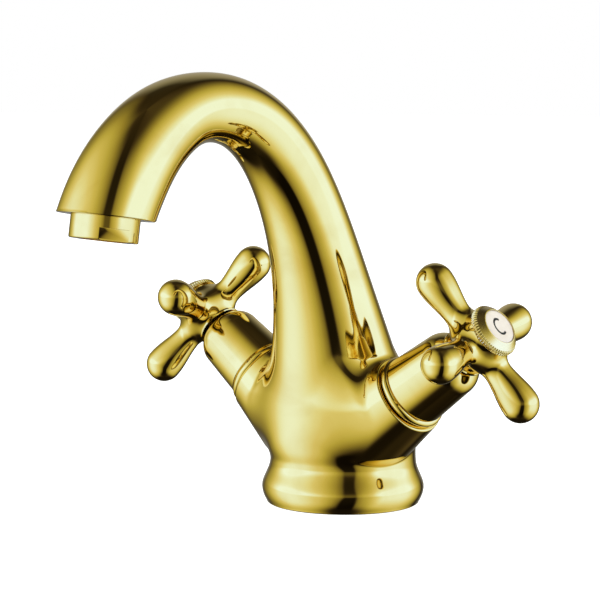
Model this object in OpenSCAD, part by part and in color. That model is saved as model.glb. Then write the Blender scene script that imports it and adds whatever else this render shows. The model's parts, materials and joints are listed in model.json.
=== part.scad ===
// Two-handle basin mixer: one hollow casting with a swept spout, two quarter-turn
// ceramic headworks, cross handles and a screw-in aerator. Millimetres, +Z up.
// The origin is the centre of the foot's underside. The spout points along -Y,
// the cold handle is on +X and the hot handle on -X.

/* [Foot] */
// Radius of the foot's underside
foot_r = 28.6; // [26:0.1:31]
// Radius of the foot's rounded bulge
bulge_r = 31; // [29:0.1:34]
// Height of the widest part of the bulge
bulge_z = 6.5; // [5:0.1:8]
// Radius of the waist above the foot
waist_r = 27.8; // [27:0.1:29]
// Height of the waist
waist_z = 17; // [15:0.5:19]
// Radius of the recess in the underside
recess_r = 23.2; // [21:0.1:24]
// Depth of the recess in the underside
recess_h = 13; // [10:0.5:14]
// Height of the inlet and stud bosses' faces above the underside
boss_z = 4; // [2:0.5:6]
// Wall of those bosses round their threads
boss_wall = 2.8; // [2:0.1:3.2]
// Width of the base seal's groove
seal_w = 2.4; // [1.5:0.1:2.6]
// Depth of the base seal's groove
seal_h = 2; // [1:0.1:3]

/* [Spout] */
// Height at which the belly's straight root ends
root_z = 30; // [28:0.5:32]
// Forward lean of the neck at its root, in degrees
lean = 8.8; // [4:0.1:12]
// Distance of the arch's top in front of the foot's axis
arch_y = 75.8; // [70:0.1:82]
// Height of the spout's centreline at the top of its arch
arch_z = 151.6; // [140:0.1:170]
// Distance of the mouth's centre in front of the foot's axis
mouth_y = 124.9; // [118:0.1:132]
// Height of the mouth's centre
mouth_z = 114.9; // [108:0.1:120]
// Slope of the spout's centreline at its mouth, in degrees from vertical
mouth_slope = 22.4; // [15:0.1:30]
// Tilt of the mouth's rim and of the aerator, in degrees from vertical
mouth_tilt = 8.6; // [0:0.1:15]
// Outer radius at the root
root_r = 29.2; // [27:0.1:31]
// Outer radius low on the neck
neck_low_r = 18.3; // [16:0.1:21]
// Outer radius high on the neck
neck_high_r = 14; // [12.5:0.1:16]
// Outer radius at the top of the arch, the thinnest place
arch_r = 12.4; // [11:0.1:14]
// Outer radius just past the arch
brow_r = 14.7; // [13:0.1:16]
// Outer radius above the mouth
cheek_r = 16.4; // [15:0.1:18]
// Outer radius of the mouth's rim
mouth_r = 17.1; // [16:0.1:19]
// Wall of the neck and spout
spout_wall = 2.6; // [2:0.1:3.5]
// Largest radius of the mixing chamber in the belly
chamber_r = 17; // [13:0.5:19]
// Height of the mixing chamber's floor on the centreline
chamber_z = 43.6; // [42:0.1:46]

/* [Ports] */
// Distance of the ports' plane in front of the foot's axis
port_y = 4.4; // [3:0.1:6]
// Height at which the two port axes cross
port_z = 20.4; // [19:0.1:22]
// Rise of each port axis above horizontal, in degrees
port_rise = 34.8; // [33:0.1:37]
// Distance of a port's face from the crossing, along its axis
port_face = 43; // [42:0.1:45]
// Radius of a port's face
port_r = 15.5; // [15:0.1:17]
// Growth of a port's radius for each millimetre towards the belly
port_flare = 0.15; // [0.1:0.01:0.2]
// Width of the smooth blend between ports and neck
blend = 8; // [5:0.5:10]
// Distance of the valve seats from the crossing
seat_u = 18; // [17:0.5:20]
// Radius of a valve seat's water hole
seat_hole_r = 5.6; // [4:0.1:6]
// Length of that hole
seat_hole_l = 8; // [6:0.5:10]

/* [Inlets and fixing] */
// Distance of each inlet from the middle
inlet_x = 11; // [10:0.5:12]
// Wall radius of the inlet threads, M10 x 1
inlet_r = 4.6; // [4.5:0.05:5]
// Length of the inlet threads
inlet_thread = 10; // [8:0.5:11]
// Radius of the drilling above an inlet thread
inlet_way_r = 3.8; // [3:0.1:4.2]
// Distance of the fixing stud's hole behind the foot's axis
stud_y = 14; // [12:0.5:16]
// Wall radius of the stud's thread, M8
stud_r = 3.5; // [3.3:0.05:4]
// Depth of the stud's thread
stud_depth = 12; // [8:0.5:16]

/* [Headwork] */
// Wall radius of the thread that holds a headwork, G 1/2
thread_r = 10.4; // [10:0.05:10.6]
// Length of that thread
thread_h = 10; // [8:0.5:12]
// Radius of a headwork's nose
nose_r = 9.2; // [8.8:0.1:9.6]
// Wall of a headwork's nose
nose_wall = 1.3; // [1:0.1:1.6]
// Radius of a headwork's flange
flange_r = 12; // [11.8:0.1:12.6]
// Thickness of a headwork's flange
flange_h = 2.4; // [2:0.1:3]
// Distance across the flats of a headwork's hexagon
hex_af = 17; // [16:0.5:19]
// Height of a headwork's hexagon
hex_h = 6; // [4:0.5:8]
// Radius of the barrel above the hexagon
barrel_r = 8; // [7:0.1:8.3]
// Radius of the spindle in its bearing
spindle_r = 4.6; // [4:0.05:5]
// Radius of the spindle's drive end, inside the handle
drive_r = 3.9; // [3.5:0.05:4.2]
// Radius of the spindle's foot, which turns the upper disc
driver_r = 7.4; // [7:0.1:7.7]
// Thickness of the spindle's foot
driver_h = 2.4; // [2:0.1:3]
// Thickness of each ceramic disc
disc_h = 3.2; // [2.5:0.1:3.5]
// Radius of each ceramic disc
disc_r = 7.6; // [7:0.1:7.8]
// Radius of the water holes in the discs
disc_hole_r = 1.9; // [1.2:0.1:2.2]
// Thickness of the seat seal
seat_seal_h = 2.2; // [1.5:0.1:2.5]
// Thickness of the sealing washer under a headwork's flange
washer_h = 0.8; // [0.6:0.1:1.5]
// Thickness of the O-rings on the spindle
oring_h = 1.6; // [1.2:0.1:2]
// Distance between the two O-rings
oring_pitch = 4; // [3:0.1:5]
// Depth of the spindle's O-ring and clip grooves
groove_d = 1; // [0.6:0.1:1.2]
// Radius of the water windows in a headwork's nose
window_r = 2.2; // [1.5:0.1:2.4]
// Thickness of the retaining clip
clip_h = 1; // [0.8:0.1:1.2]
// Width of the clip's ring outside the spindle
clip_w = 1.4; // [1:0.1:2]
// Width of the clip's opening
clip_slot = 4; // [3:0.1:6]

/* [Shroud] */
// Radius of the bead at the shroud's foot
bead_r = 14.6; // [14:0.1:15]
// Width of the bead
bead_h = 2.8; // [2:0.1:3.5]
// Gap between a port's face and its shroud
shroud_gap = 1.2; // [0.6:0.1:2]
// Radius of the shroud just above its bead
shroud_foot_r = 13.4; // [13:0.1:13.8]
// Radius of the shroud below its shoulder
shroud_top_r = 12.4; // [12:0.1:13]
// Distance of the shoulder's start from the crossing
shoulder_u = 66; // [65:0.5:68]
// Radius of the rounded shoulder
shoulder_round = 8; // [7.5:0.1:10]
// Height of the shoulder along the axis
shoulder_h = 7; // [5:0.1:7.4]
// Wall of the shroud
shroud_wall = 1.6; // [1.2:0.1:2]

/* [Handle] */
// Distance of the arms' plane from the crossing
hub_u = 82; // [81:0.1:84]
// Distance from the hub's axis to the centre of each ball end
arm_l = 26.9; // [24:0.1:30]
// Radius of the ball ends
ball_r = 7; // [6:0.1:8]
// Radius of an arm at its waist
arm_waist_r = 5.1; // [4.5:0.1:5.5]
// Distance of an arm's waist from the hub's axis
arm_waist_l = 11.5; // [10.5:0.5:13]
// Turn of the cold handle's arms at rest, in degrees
cold_turn = 13.7; // [-45:0.1:45]
// Turn of the hot handle's arms at rest, in degrees
hot_turn = 23.4; // [-45:0.1:45]
// Radius of the collar at the handle's foot
collar_r = 9.2; // [8:0.1:9.6]
// Thickness of that collar
hub_collar_h = 1.2; // [1:0.1:2]
// Running gap between shroud and handle
handle_gap = 0.7; // [0.5:0.1:1]
// Radius of the neck between collar and arms
hub_neck_r = 7.2; // [6.8:0.1:8]
// Radius of the hub's swell in the arms' plane
hub_r = 10.2; // [9:0.1:11]
// Radius of the hub's crown, under the index ring
crown_r = 9; // [8.4:0.1:9.4]
// Height of the crown above the arms' plane
crown_h = 7.9; // [6:0.1:9]
// Radius of the screw's shank, M5
screw_r = 2.4; // [2:0.1:2.5]
// Length of the screw's thread in the spindle
screw_thread = 8; // [6:0.5:10]
// Radius of the screw's head
screw_head_r = 4.2; // [3.5:0.1:4.5]
// Height of the screw's head
screw_head_h = 2.4; // [2:0.1:3]

/* [Index] */
// Radius of the reeded index ring
ring_r = 10.2; // [9.6:0.1:10.5]
// Height of the index ring
ring_h = 4.3; // [3.5:0.1:5]
// Height of the ring's reeded wall
ring_wall_h = 1.5; // [1:0.1:2]
// Bevel between the wall and the ring's sloping face
ring_bevel = 0.9; // [0.5:0.1:1.2]
// Radius of the ring's screw-in stem
stem_r = 6.6; // [6:0.1:7]
// Length of that stem
stem_h = 2.2; // [1.5:0.1:2.6]
// Radius of the porcelain disc
index_r = 6.7; // [6:0.1:7]
// Thickness of the porcelain disc
index_h = 1.4; // [1:0.1:1.6]
// Depth of the disc's face below the ring's rim
dish_h = 0.2; // [0.1:0.1:0.6]

/* [Aerator] */
// Radius of the aerator's housing, M24
aerator_r = 12; // [11.5:0.1:12.5]
// Length of the housing below the spout's rim
skirt_h = 8.1; // [6:0.1:10]
// Length of the housing's thread inside the spout
aerator_thread = 6; // [4:0.5:8]
// Wall of the housing
aerator_wall = 1.6; // [1.2:0.1:2]
// Distance across the housing's wrench flats
flats_af = 21.4; // [20:0.1:22.5]
// Height of the wrench flats
flats_h = 4.2; // [3:0.1:6]
// Turn of the wrench flats about the aerator's axis, in degrees
flats_turn = -57; // [-90:1:90]
// Thickness of the aerator's washer
aerator_washer_h = 1.6; // [1:0.1:2.5]
// Thickness of the strainer above the insert
strainer_h = 0.8; // [0.5:0.1:1.5]
// Depth of the insert inside the housing's mouth
insert_inset = 1.2; // [0.5:0.1:2]
// Radius of the holes in the insert
jet_r = 0.9; // [0.5:0.1:1.1]
// Distance between the rings of holes
jet_pitch = 2.5; // [2.2:0.1:2.8]
// Radius of the water's opening above the aerator's washer
mouth_way_r = 9.6; // [8.6:0.1:10.4]

/* [Hidden] */

gold = [0.83, 0.68, 0.27];
pale_gold = [0.86, 0.78, 0.55];
raw_brass = [0.75, 0.62, 0.32];
steel = [0.72, 0.73, 0.74];
ceramic_white = [0.93, 0.92, 0.88];
porcelain = [0.92, 0.88, 0.82];
black_rubber = [0.08, 0.08, 0.08];
grey_plastic = [0.85, 0.86, 0.87];

cold = 1;
hot = -1;

$fn = 48;
// Overlap that joins solids of one piece, and overshoot of cuts
lap = 0.5;
// Radial clearance of screwed and seated pieces
seat_gap = 0.05;
// Radial clearance of the turning spindle
run_gap = 0.04;
// Running gap between the two ceramic discs
disc_gap = 0.02;
// Squeeze left out between an O-ring and its walls
seal_gap = 0.02;
// Axial clearance of pieces that a shoulder holds
end_gap = 0.3;
// Chamfer on small turned edges
chamfer = 0.5;
small_chamfer = 0.3;

// Sides and rings of the body's outer skin and of its waterway
skin_sides = 68;
way_sides = 20;
root_rings = 7;
belly_rings = 18;
neck_rings = 12;
fall_rings = 12;
way_rings = 24;
// Search for the skin's radius in each direction: steps, farthest reach, and the
// nearest start as a part of the round radius
search_steps = 12;
search_reach = 62;
search_from = 0.9;
arc_steps = 10;
ball_steps = 6;

function lerp(a, b, t) = a + (b - a) * t;
function clamp01(t) = max(0, min(1, t));
function ease(t) = clamp01(t) * clamp01(t) * (3 - 2 * clamp01(t));

// ---- Centreline of neck and spout, as [y, z] points ----
function bezier(p, t) =
    pow(1 - t, 3) * p[0] + 3 * pow(1 - t, 2) * t * p[1]
    + 3 * (1 - t) * t * t * p[2] + pow(t, 3) * p[3];
function bezier_way(p, t) =
    pow(1 - t, 2) * (p[1] - p[0]) + 2 * (1 - t) * t * (p[2] - p[1])
    + t * t * (p[3] - p[2]);

root = [-(root_z - waist_z) * tan(lean), root_z];
arch = [-arch_y, arch_z];
mouth = [-mouth_y, mouth_z];
// Length of the curve's handles, as parts of the spans that they bend
rise_pull = 0.444 * (arch_z - root_z);
back_pull = 0.665 * (arch_y + root[0]);
front_pull = 0.626 * (mouth_y - arch_y);
drop_pull = 0.211 * (arch_z - mouth_z);
rise = [root, root + rise_pull * [-sin(lean), cos(lean)], arch + [back_pull, 0], arch];
fall = [arch, arch - [front_pull, 0],
        mouth + drop_pull * [sin(mouth_slope), cos(mouth_slope)], mouth];

// Station g runs from 0 at the root through 1 at the arch's top to 2 at the mouth,
// and below 0 down to the waist at -1
function centre(g) =
    g < 0 ? [lerp(root[0], 0, -g), lerp(root_z, waist_z, -g)]
    : g <= 1 ? bezier(rise, g) : bezier(fall, g - 1);
function way(g) =
    g < 0 ? [-sin(lean), cos(lean)]
    : g <= 1 ? bezier_way(rise, g) : bezier_way(fall, g - 1);
// Angle of a ring's axis from vertical, towards the front
function path_angle(g) = atan2(-way(g)[0], way(g)[1]);
// Rings past this station turn until the last one lies in the mouth's plane
tilt_from = 1.4;
function ring_angle(g) =
    g < 0 ? lerp(lean, 0, -g)
    : path_angle(g) + (mouth_slope - mouth_tilt) * ease((g - tilt_from) / (2 - tilt_from));

// Depth of the skin below the foot's surface where it enters the foot
waist_step = 0.15;
knots = [root_r, neck_low_r, neck_high_r, arch_r, brow_r, cheek_r, mouth_r];
last_knot = len(knots) - 1;
function knot(i) =
    i < 0 ? 2 * knots[0] - knots[1]
    : i > last_knot ? 2 * knots[last_knot] - knots[last_knot - 1] : knots[i];
function spline(a, b, c, d, t) =
    0.5 * (2 * b + (c - a) * t + (2 * a - 5 * b + 4 * c - d) * t * t
    + (3 * b - a - 3 * c + d) * t * t * t);
function skin_r(g) =
    g < 0 ? lerp(root_r, waist_r - waist_step, ease(-g))
    : let (s = min(g / 2 * last_knot, last_knot - 0.0001), i = floor(s))
      spline(knot(i - 1), knot(i), knot(i + 1), knot(i + 2), s - i);

// ---- Smooth union of neck and ports ----
crossing = [0, -port_y, port_z];
function port_way(side) = [side * cos(port_rise), 0, sin(port_rise)];
// The blended skin runs past the port's face, which is cut flat afterwards
skin_over = 3;
skin_face = port_face + skin_over;
// A turned collar stands proud of the skin by this much, and ends in it
collar_proud = 0.2;
function port_dist(p, side) =
    let (v = p - crossing, u = v * port_way(side), off = norm(v - u * port_way(side)))
    max(off - port_r + collar_proud - port_flare * (port_face - u), u - skin_face, -u);
// The ports draw back by this much at the waist, so that it stays round, and
// less above it, up to the height of lift_fade
waist_lift = 1;
lift_fade = 4;
// The blend grows to its full width over this height above the waist
blend_rise = 14;
blend_min = 0.01;
function blended(a, b, k) = min(a, b) - pow(max(k - abs(a - b), 0), 2) / (4 * k);
function skin_dist(p, ring_d) =
    let (k = blend * ease((p[2] - waist_z) / blend_rise) + blend_min,
         lift = waist_lift * (1 - ease((p[2] - waist_z) / lift_fade)))
    blended(ring_d, lift + min(port_dist(p, cold), port_dist(p, hot)), k);

function ring_point(g, rho, phi) =
    let (c = centre(g), a = ring_angle(g))
    [rho * cos(phi), c[0] + rho * sin(phi) * cos(a), c[1] + rho * sin(phi) * sin(a)];
function search(g, phi, lo, hi, n) =
    n == 0 ? (lo + hi) / 2
    : let (mid = (lo + hi) / 2)
      skin_dist(ring_point(g, mid, phi), mid - skin_r(g)) > 0
      ? search(g, phi, lo, mid, n - 1) : search(g, phi, mid, hi, n - 1);

// Above the ports the skin is round, and needs no search
round_g = 0.45;
// Station near the top of the ports, below which the rings lie closer
port_top_g = 0.3;
function skin_rho(g, phi) =
    g > round_g ? skin_r(g)
    : search(g, phi, skin_r(g) * search_from, search_reach, search_steps);

// The lowest ring lies inside the foot, and the next one just above it
root_dip = 1.5;
root_step = 0.2;
root_stations = concat([-1 - root_dip / (root_z - waist_z), -1 + root_step / (root_z - waist_z)],
    [for (i = [1 : root_rings - 1]) -1 + i / root_rings]);
rise_stations = concat(
    [for (i = [0 : belly_rings - 1]) port_top_g * i / belly_rings],
    [for (i = [0 : neck_rings - 1]) lerp(port_top_g, 1, i / neck_rings)]);
fall_stations = [for (i = [0 : fall_rings]) 1 + i / fall_rings];
skin_stations = concat(root_stations, rise_stations, fall_stations);
skin = [for (g = skin_stations)
    [for (j = [0 : skin_sides - 1]) let (phi = 360 * j / skin_sides)
        ring_point(g, skin_rho(g, phi), phi)]];

// Solid through a list of rings with equal numbers of points
module lofted(rings) {
    m = len(rings[0]);
    last = len(rings) - 1;
    points = [for (r = rings) each r];
    walls = [for (i = [0 : last - 1], j = [0 : m - 1])
        let (a = i * m + j, b = i * m + (j + 1) % m) each [[a, a + m, b], [b, a + m, b + m]]];
    bottom = [for (j = [0 : m - 1]) j];
    top = [for (j = [m - 1 : -1 : 0]) last * m + j];
    polyhedron(points = points, faces = concat([bottom, top], walls), convexity = 8);
}

// ---- Placing on the port axes and on the aerator's axis ----
// Along a port axis, z is the distance from the crossing
module on_port(side) {
    translate(crossing) rotate([0, side * (90 - port_rise), 0]) children();
}

// z points out of the mouth, along the water
module on_mouth() {
    translate([0, mouth[0], mouth[1]]) rotate([180 - mouth_tilt, 0, 0]) children();
}

module tube(r_out, r_in, h) {
    difference() {
        cylinder(r = r_out, h = h);
        translate([0, 0, -lap]) cylinder(r = r_in, h = h + 2 * lap);
    }
}

// ---- Body ----
foot_outline = concat(
    [[0, 0]],
    [for (i = [0 : arc_steps]) let (t = i / arc_steps)
        [bulge_r - (bulge_r - foot_r) * pow(1 - t, 2), bulge_z * t]],
    [for (i = [1 : arc_steps]) let (t = i / arc_steps)
        [waist_r + (bulge_r - waist_r) * (1 + cos(180 * t)) / 2, lerp(bulge_z, waist_z, t)]],
    [[0, waist_z]]);

// Turned collar that ends a port, with a small round on its edge
collar_h = 3;
collar_in = port_face - collar_h;
collar_round = 0.8;
collar_outline = concat(
    [[0, collar_in], [port_r + port_flare * collar_h - 2 * collar_proud, collar_in]],
    [[port_r + port_flare * collar_h / 2, port_face - collar_h / 2]],
    [for (i = [0 : 4]) let (a = 90 * i / 4)
        [port_r - collar_round * (1 - cos(a)), port_face - collar_round * (1 - sin(a))]],
    [[0, port_face]]);

seal_mid_r = (foot_r + recess_r) / 2;
seal_out_r = seal_mid_r + seal_w / 2;
seal_in_r = seal_mid_r - seal_w / 2;

// Waterway from the mixing chamber to the aerator's bore. A curve leaves its end
// at three times its handle's length for each station, and bends from there.
aerator_bore_r = aerator_r + seat_gap;
bore_depth = aerator_thread + aerator_washer_h;
way_bend = 0.6;
way_from = (chamber_z - root_z) / (3 * rise_pull * cos(lean));
way_to = 2 - way_bend * (bore_depth - lap) / (3 * drop_pull);
// It narrows past this station, and leaves a shoulder for the aerator's washer
narrow_from = 1.5;
function way_r(g) =
    lerp(min(skin_r(g) - spout_wall, chamber_r), mouth_way_r,
         ease((g - narrow_from) / (way_to - narrow_from)));
way_rings_list = [for (i = [0 : way_rings]) let (g = lerp(way_from, way_to, i / way_rings))
    [for (j = [0 : way_sides - 1]) ring_point(g, way_r(g), 360 * j / way_sides)]];

// Room for water round a headwork's nose
nose_room = 0.6;
valve_bore_r = nose_r + nose_room;
valve_bore_to = port_face - thread_h;
// Size of the cut that ends the skin at a port's face
face_cut_r = port_r + 1.5;
face_cut_h = skin_over + 8;

module body() {
    color(gold) difference() {
        union() {
            rotate_extrude($fn = 96) polygon(foot_outline);
            difference() {
                lofted(skin);
                for (side = [cold, hot]) on_port(side) translate([0, 0, port_face - collar_round])
                    cylinder(r = face_cut_r, h = face_cut_h);
            }
            for (side = [cold, hot]) on_port(side) rotate_extrude($fn = 72) polygon(collar_outline);
        }
        lofted(way_rings_list);
        on_mouth() translate([0, 0, -bore_depth]) cylinder(r = aerator_bore_r, h = bore_depth + lap);
        difference() {
            translate([0, 0, -lap]) cylinder(r = recess_r, h = recess_h + lap);
            translate([0, stud_y, boss_z]) cylinder(r = stud_r + boss_wall, h = recess_h);
            for (side = [cold, hot]) translate([side * inlet_x, -port_y, boss_z])
                cylinder(r = inlet_r + boss_wall, h = recess_h);
        }
        translate([0, 0, -lap]) tube(seal_out_r, seal_in_r, seal_h + lap);
        translate([0, stud_y, boss_z - lap]) cylinder(r = stud_r, h = stud_depth + lap);
        for (side = [cold, hot]) {
            on_port(side) {
                translate([0, 0, valve_bore_to]) cylinder(r = thread_r + seat_gap, h = thread_h + lap);
                translate([0, 0, seat_u]) cylinder(r = valve_bore_r, h = valve_bore_to - seat_u + lap);
                translate([0, 0, seat_u - seat_hole_l]) cylinder(r = seat_hole_r, h = seat_hole_l + lap);
            }
            translate([side * inlet_x, -port_y, boss_z - lap]) {
                cylinder(r = inlet_r, h = inlet_thread + lap);
                cylinder(r = inlet_way_r, h = port_z + inlet_x * tan(port_rise) - boss_z);
            }
        }
    }
}

module base_seal() {
    color(black_rubber) tube(seal_out_r - seat_gap, seal_in_r + seat_gap, seal_h - seat_gap);
}

// ---- Headwork, along a port axis ----
nose_in_r = nose_r - nose_wall;
seat_seal_r = nose_in_r - seat_gap;
fixed_u = seat_u + seat_seal_h;
moving_u = fixed_u + disc_h + disc_gap;
driver_u = moving_u + disc_h;
nose_top = driver_u + driver_h + seat_gap;
flange_u = port_face + washer_h;
hex_u = flange_u + flange_h;
barrel_u = hex_u + hex_h;
barrel_over = 1.5;
barrel_top = shoulder_u + barrel_over;
clip_u = barrel_top + end_gap;
shroud_top = shoulder_u + shoulder_h;
handle_u = shroud_top + handle_gap;
crown_u = hub_u + crown_h;
stem_u = crown_u - stem_h;
head_u = stem_u - screw_head_h - end_gap;
// Thickness of the handle's floor between the spindle's end and the screw's head
hub_floor = 1.2;
spindle_top = head_u - hub_floor;
screw_hole_h = screw_thread + 1;
oring_us = [barrel_u - oring_pitch, barrel_u];
oring_out_r = spindle_r + run_gap;
oring_in_r = spindle_r - groove_d;

module headwork(side) {
    color(raw_brass) on_port(side) difference() {
        union() {
            translate([0, 0, seat_u + end_gap]) cylinder(r = nose_r, h = valve_bore_to - seat_u);
            translate([0, 0, valve_bore_to]) cylinder(r = thread_r, h = flange_u - valve_bore_to + lap);
            translate([0, 0, flange_u]) cylinder(r = flange_r, h = flange_h);
            translate([0, 0, hex_u]) cylinder(r = hex_af / 2 / cos(30), h = hex_h, $fn = 6);
            translate([0, 0, hex_u]) cylinder(r = barrel_r, h = barrel_top - hex_u);
        }
        translate([0, 0, seat_u]) cylinder(r = nose_in_r, h = nose_top - seat_u);
        translate([0, 0, seat_u]) cylinder(r = spindle_r + run_gap, h = barrel_top - seat_u + lap);
        for (turn = [0, 90]) translate([0, 0, driver_u + driver_h / 2]) rotate([90, 0, turn])
            cylinder(r = window_r, h = 3 * nose_r, center = true);
    }
}

module seat_seal(side) {
    color(black_rubber) on_port(side) translate([0, 0, seat_u])
        tube(seat_seal_r, seat_hole_r, seat_seal_h);
}

// Two water holes, on a line through the disc's centre
module disc_holes() {
    for (s = [-1, 1]) translate([s * disc_r / 2, 0, -lap]) cylinder(r = disc_hole_r, h = disc_h + 2 * lap);
}

module fixed_disc(side) {
    color(ceramic_white) on_port(side) translate([0, 0, fixed_u]) difference() {
        cylinder(r = disc_r, h = disc_h);
        disc_holes();
    }
}

// Shut at rest: its holes are a quarter turn from the fixed disc's
disc_play = 0.2;
module moving_disc(side) {
    color(ceramic_white) on_port(side) translate([0, 0, moving_u]) rotate([0, 0, 90]) difference() {
        cylinder(r = disc_r - disc_play, h = disc_h);
        disc_holes();
    }
}

module spindle(side) {
    color(raw_brass) on_port(side) difference() {
        union() {
            translate([0, 0, driver_u]) cylinder(r = driver_r, h = driver_h);
            translate([0, 0, driver_u]) cylinder(r = spindle_r, h = handle_u - driver_u);
            translate([0, 0, driver_u]) cylinder(r = drive_r, h = spindle_top - driver_u);
        }
        for (u = oring_us) translate([0, 0, u]) tube(spindle_r + lap, oring_in_r, oring_h);
        translate([0, 0, clip_u]) tube(spindle_r + lap, oring_in_r, clip_h);
        translate([0, 0, spindle_top - screw_hole_h]) cylinder(r = screw_r, h = screw_hole_h + lap);
        for (s = [-1, 1]) rotate([0, 0, 90]) translate([s * disc_r / 2, 0, driver_u - lap])
            cylinder(r = disc_hole_r, h = driver_h + lap);
    }
}

module spindle_orings(side) {
    color(black_rubber) on_port(side) for (u = oring_us) translate([0, 0, u + seat_gap])
        tube(oring_out_r - seal_gap, oring_in_r + seal_gap, oring_h - 2 * seat_gap);
}

module flange_washer(side) {
    color(black_rubber) on_port(side) translate([0, 0, port_face])
        tube(flange_r, thread_r + seat_gap, washer_h);
}

// Open ring in the groove above the barrel
module retaining_clip(side) {
    color(steel) on_port(side) translate([0, 0, clip_u + seat_gap]) difference() {
        tube(spindle_r + clip_w, oring_in_r + seat_gap, clip_h - 2 * seat_gap);
        translate([0, -clip_slot / 2, -lap]) cube([spindle_r + clip_w + lap, clip_slot, clip_h + 2 * lap]);
    }
}

// ---- Shroud ----
shroud_u = port_face + shroud_gap;
bead_mid = shroud_u + bead_h / 2;
// Groove between the bead and the cone
cut_w = 0.4;
cut_d = 0.4;
shroud_cone_u = shroud_u + bead_h + cut_w;
shroud_in_r = shroud_top_r - shroud_wall;
flange_clear = 0.3;
// The barrel's bore ends above the clip, where a smaller hole lets the spindle out
shroud_bore_top = clip_u + clip_h + end_gap;
shroud_hole_r = spindle_r + 0.4;
shroud_roof_u = shoulder_u - 3;
shroud_outline = concat(
    [[shroud_in_r, hex_u + flange_clear], [flange_r + flange_clear, hex_u + flange_clear],
     [flange_r + flange_clear, shroud_u], [bead_r - bead_h / 2, shroud_u]],
    [for (i = [1 : 7]) let (a = -90 + 180 * i / 8)
        [bead_r - bead_h / 2 * (1 - cos(a)), bead_mid + bead_h / 2 * sin(a)]],
    [[shroud_foot_r - cut_d, shroud_u + bead_h], [shroud_foot_r - cut_d, shroud_cone_u],
     [shroud_foot_r, shroud_cone_u + cut_d / 2]],
    [for (i = [0 : arc_steps]) let (a = asin(shoulder_h / shoulder_round) * i / arc_steps)
        [shroud_top_r - shoulder_round * (1 - cos(a)), shoulder_u + shoulder_round * sin(a)]],
    [[shroud_hole_r, shroud_top], [shroud_hole_r, shroud_bore_top],
     [barrel_r + seat_gap, shroud_bore_top], [barrel_r + seat_gap, shroud_roof_u],
     [shroud_in_r, shroud_roof_u]]);

module shroud(side) {
    color(gold) on_port(side) rotate_extrude($fn = 72) polygon(shroud_outline);
}

// ---- Cross handle ----
// An arm starts inside the hub, where it is wider than at its waist
arm_from = 6;
arm_flare = 0.8;
function arm_r(d) =
    d < arm_waist_l ? arm_waist_r + arm_flare * pow(1 - (d - arm_from) / (arm_waist_l - arm_from), 2)
    : arm_waist_r + (ball_r - arm_waist_r) * pow(sin(90 * (d - arm_waist_l) / (arm_l - arm_waist_l)), 2);
arm_outline = concat(
    [[0, arm_from]],
    [for (i = [0 : arc_steps]) let (d = lerp(arm_from, arm_l, i / arc_steps)) [arm_r(d), d]],
    [for (i = [1 : ball_steps]) let (a = 90 * i / ball_steps)
        [ball_r * cos(a), arm_l + ball_r * sin(a)]]);

// The hub swells from its neck to the arms' plane, and narrows to the crown's foot
neck_u = handle_u + hub_collar_h;
crown_w = 2.8;
crown_foot_u = crown_u - crown_w;
hub_outline = concat(
    [[0, handle_u], [collar_r - small_chamfer, handle_u], [collar_r, handle_u + small_chamfer],
     [collar_r, neck_u - small_chamfer], [collar_r - small_chamfer, neck_u]],
    [for (i = [0 : arc_steps]) let (t = i / arc_steps)
        [lerp(hub_neck_r, hub_r, ease(t)), lerp(neck_u, hub_u, t)]],
    [for (i = [1 : arc_steps]) let (t = i / arc_steps)
        [lerp(hub_r, crown_r, ease(t)), lerp(hub_u, crown_foot_u, t)]],
    [[crown_r, crown_u - small_chamfer], [crown_r - small_chamfer, crown_u], [0, crown_u]]);
// Hollow in the handle's foot, over the clip
foot_hollow_r = spindle_r + 1.8;
foot_hollow_h = 1.2;

module cross_handle(side, turn) {
    color(gold) on_port(side) difference() {
        union() {
            rotate_extrude($fn = 72) polygon(hub_outline);
            translate([0, 0, hub_u]) for (k = [0 : 3])
                rotate([0, 0, turn + 90 * k]) rotate([0, -90 * side, 0])
                    rotate_extrude($fn = 48) polygon(arm_outline);
        }
        translate([0, 0, handle_u - lap]) cylinder(r = foot_hollow_r, h = foot_hollow_h + lap);
        translate([0, 0, handle_u]) cylinder(r = drive_r + seat_gap, h = spindle_top - handle_u + end_gap);
        translate([0, 0, handle_u]) cylinder(r = screw_r + 2 * seat_gap, h = crown_u - handle_u);
        translate([0, 0, head_u]) cylinder(r = stem_r + seat_gap, h = crown_u - head_u + lap);
    }
}

// Hexagon socket of the screw
key_r = 1.6;
key_floor = 0.8;
module handle_screw(side) {
    screw_foot = spindle_top - screw_thread;
    color(steel) on_port(side) difference() {
        union() {
            translate([0, 0, screw_foot]) cylinder(r = screw_r - seal_gap, h = head_u - screw_foot + lap);
            translate([0, 0, head_u]) cylinder(r = screw_head_r, h = screw_head_h);
        }
        translate([0, 0, head_u + key_floor]) cylinder(r = key_r, h = screw_head_h, $fn = 6);
    }
}

// ---- Index ring and disc ----
index_u = crown_u + ring_h - dish_h - index_h;
ring_top = crown_u + ring_h;
wall_top = crown_u + ring_wall_h;
rim_w = 0.3;
ring_outline = [
    [0, stem_u], [stem_r, stem_u], [stem_r, crown_u], [ring_r - small_chamfer, crown_u],
    [ring_r, crown_u + small_chamfer], [ring_r, wall_top],
    [ring_r - ring_bevel, wall_top + ring_bevel], [index_r + rim_w, ring_top],
    [index_r + seat_gap, ring_top], [index_r + seat_gap, index_u], [0, index_u]];

module index_ring(side) {
    color(pale_gold) on_port(side) rotate_extrude($fn = 72) polygon(ring_outline);
}

module index_disc(side) {
    color(porcelain) on_port(side) translate([0, 0, index_u]) cylinder(r = index_r, h = index_h);
}

// ---- Aerator, along its own axis ----
insert_r = aerator_r - aerator_wall - seat_gap;
// The insert's top lies below the housing's, with room for the strainer
insert_top = -aerator_thread + 1.2;
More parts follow.
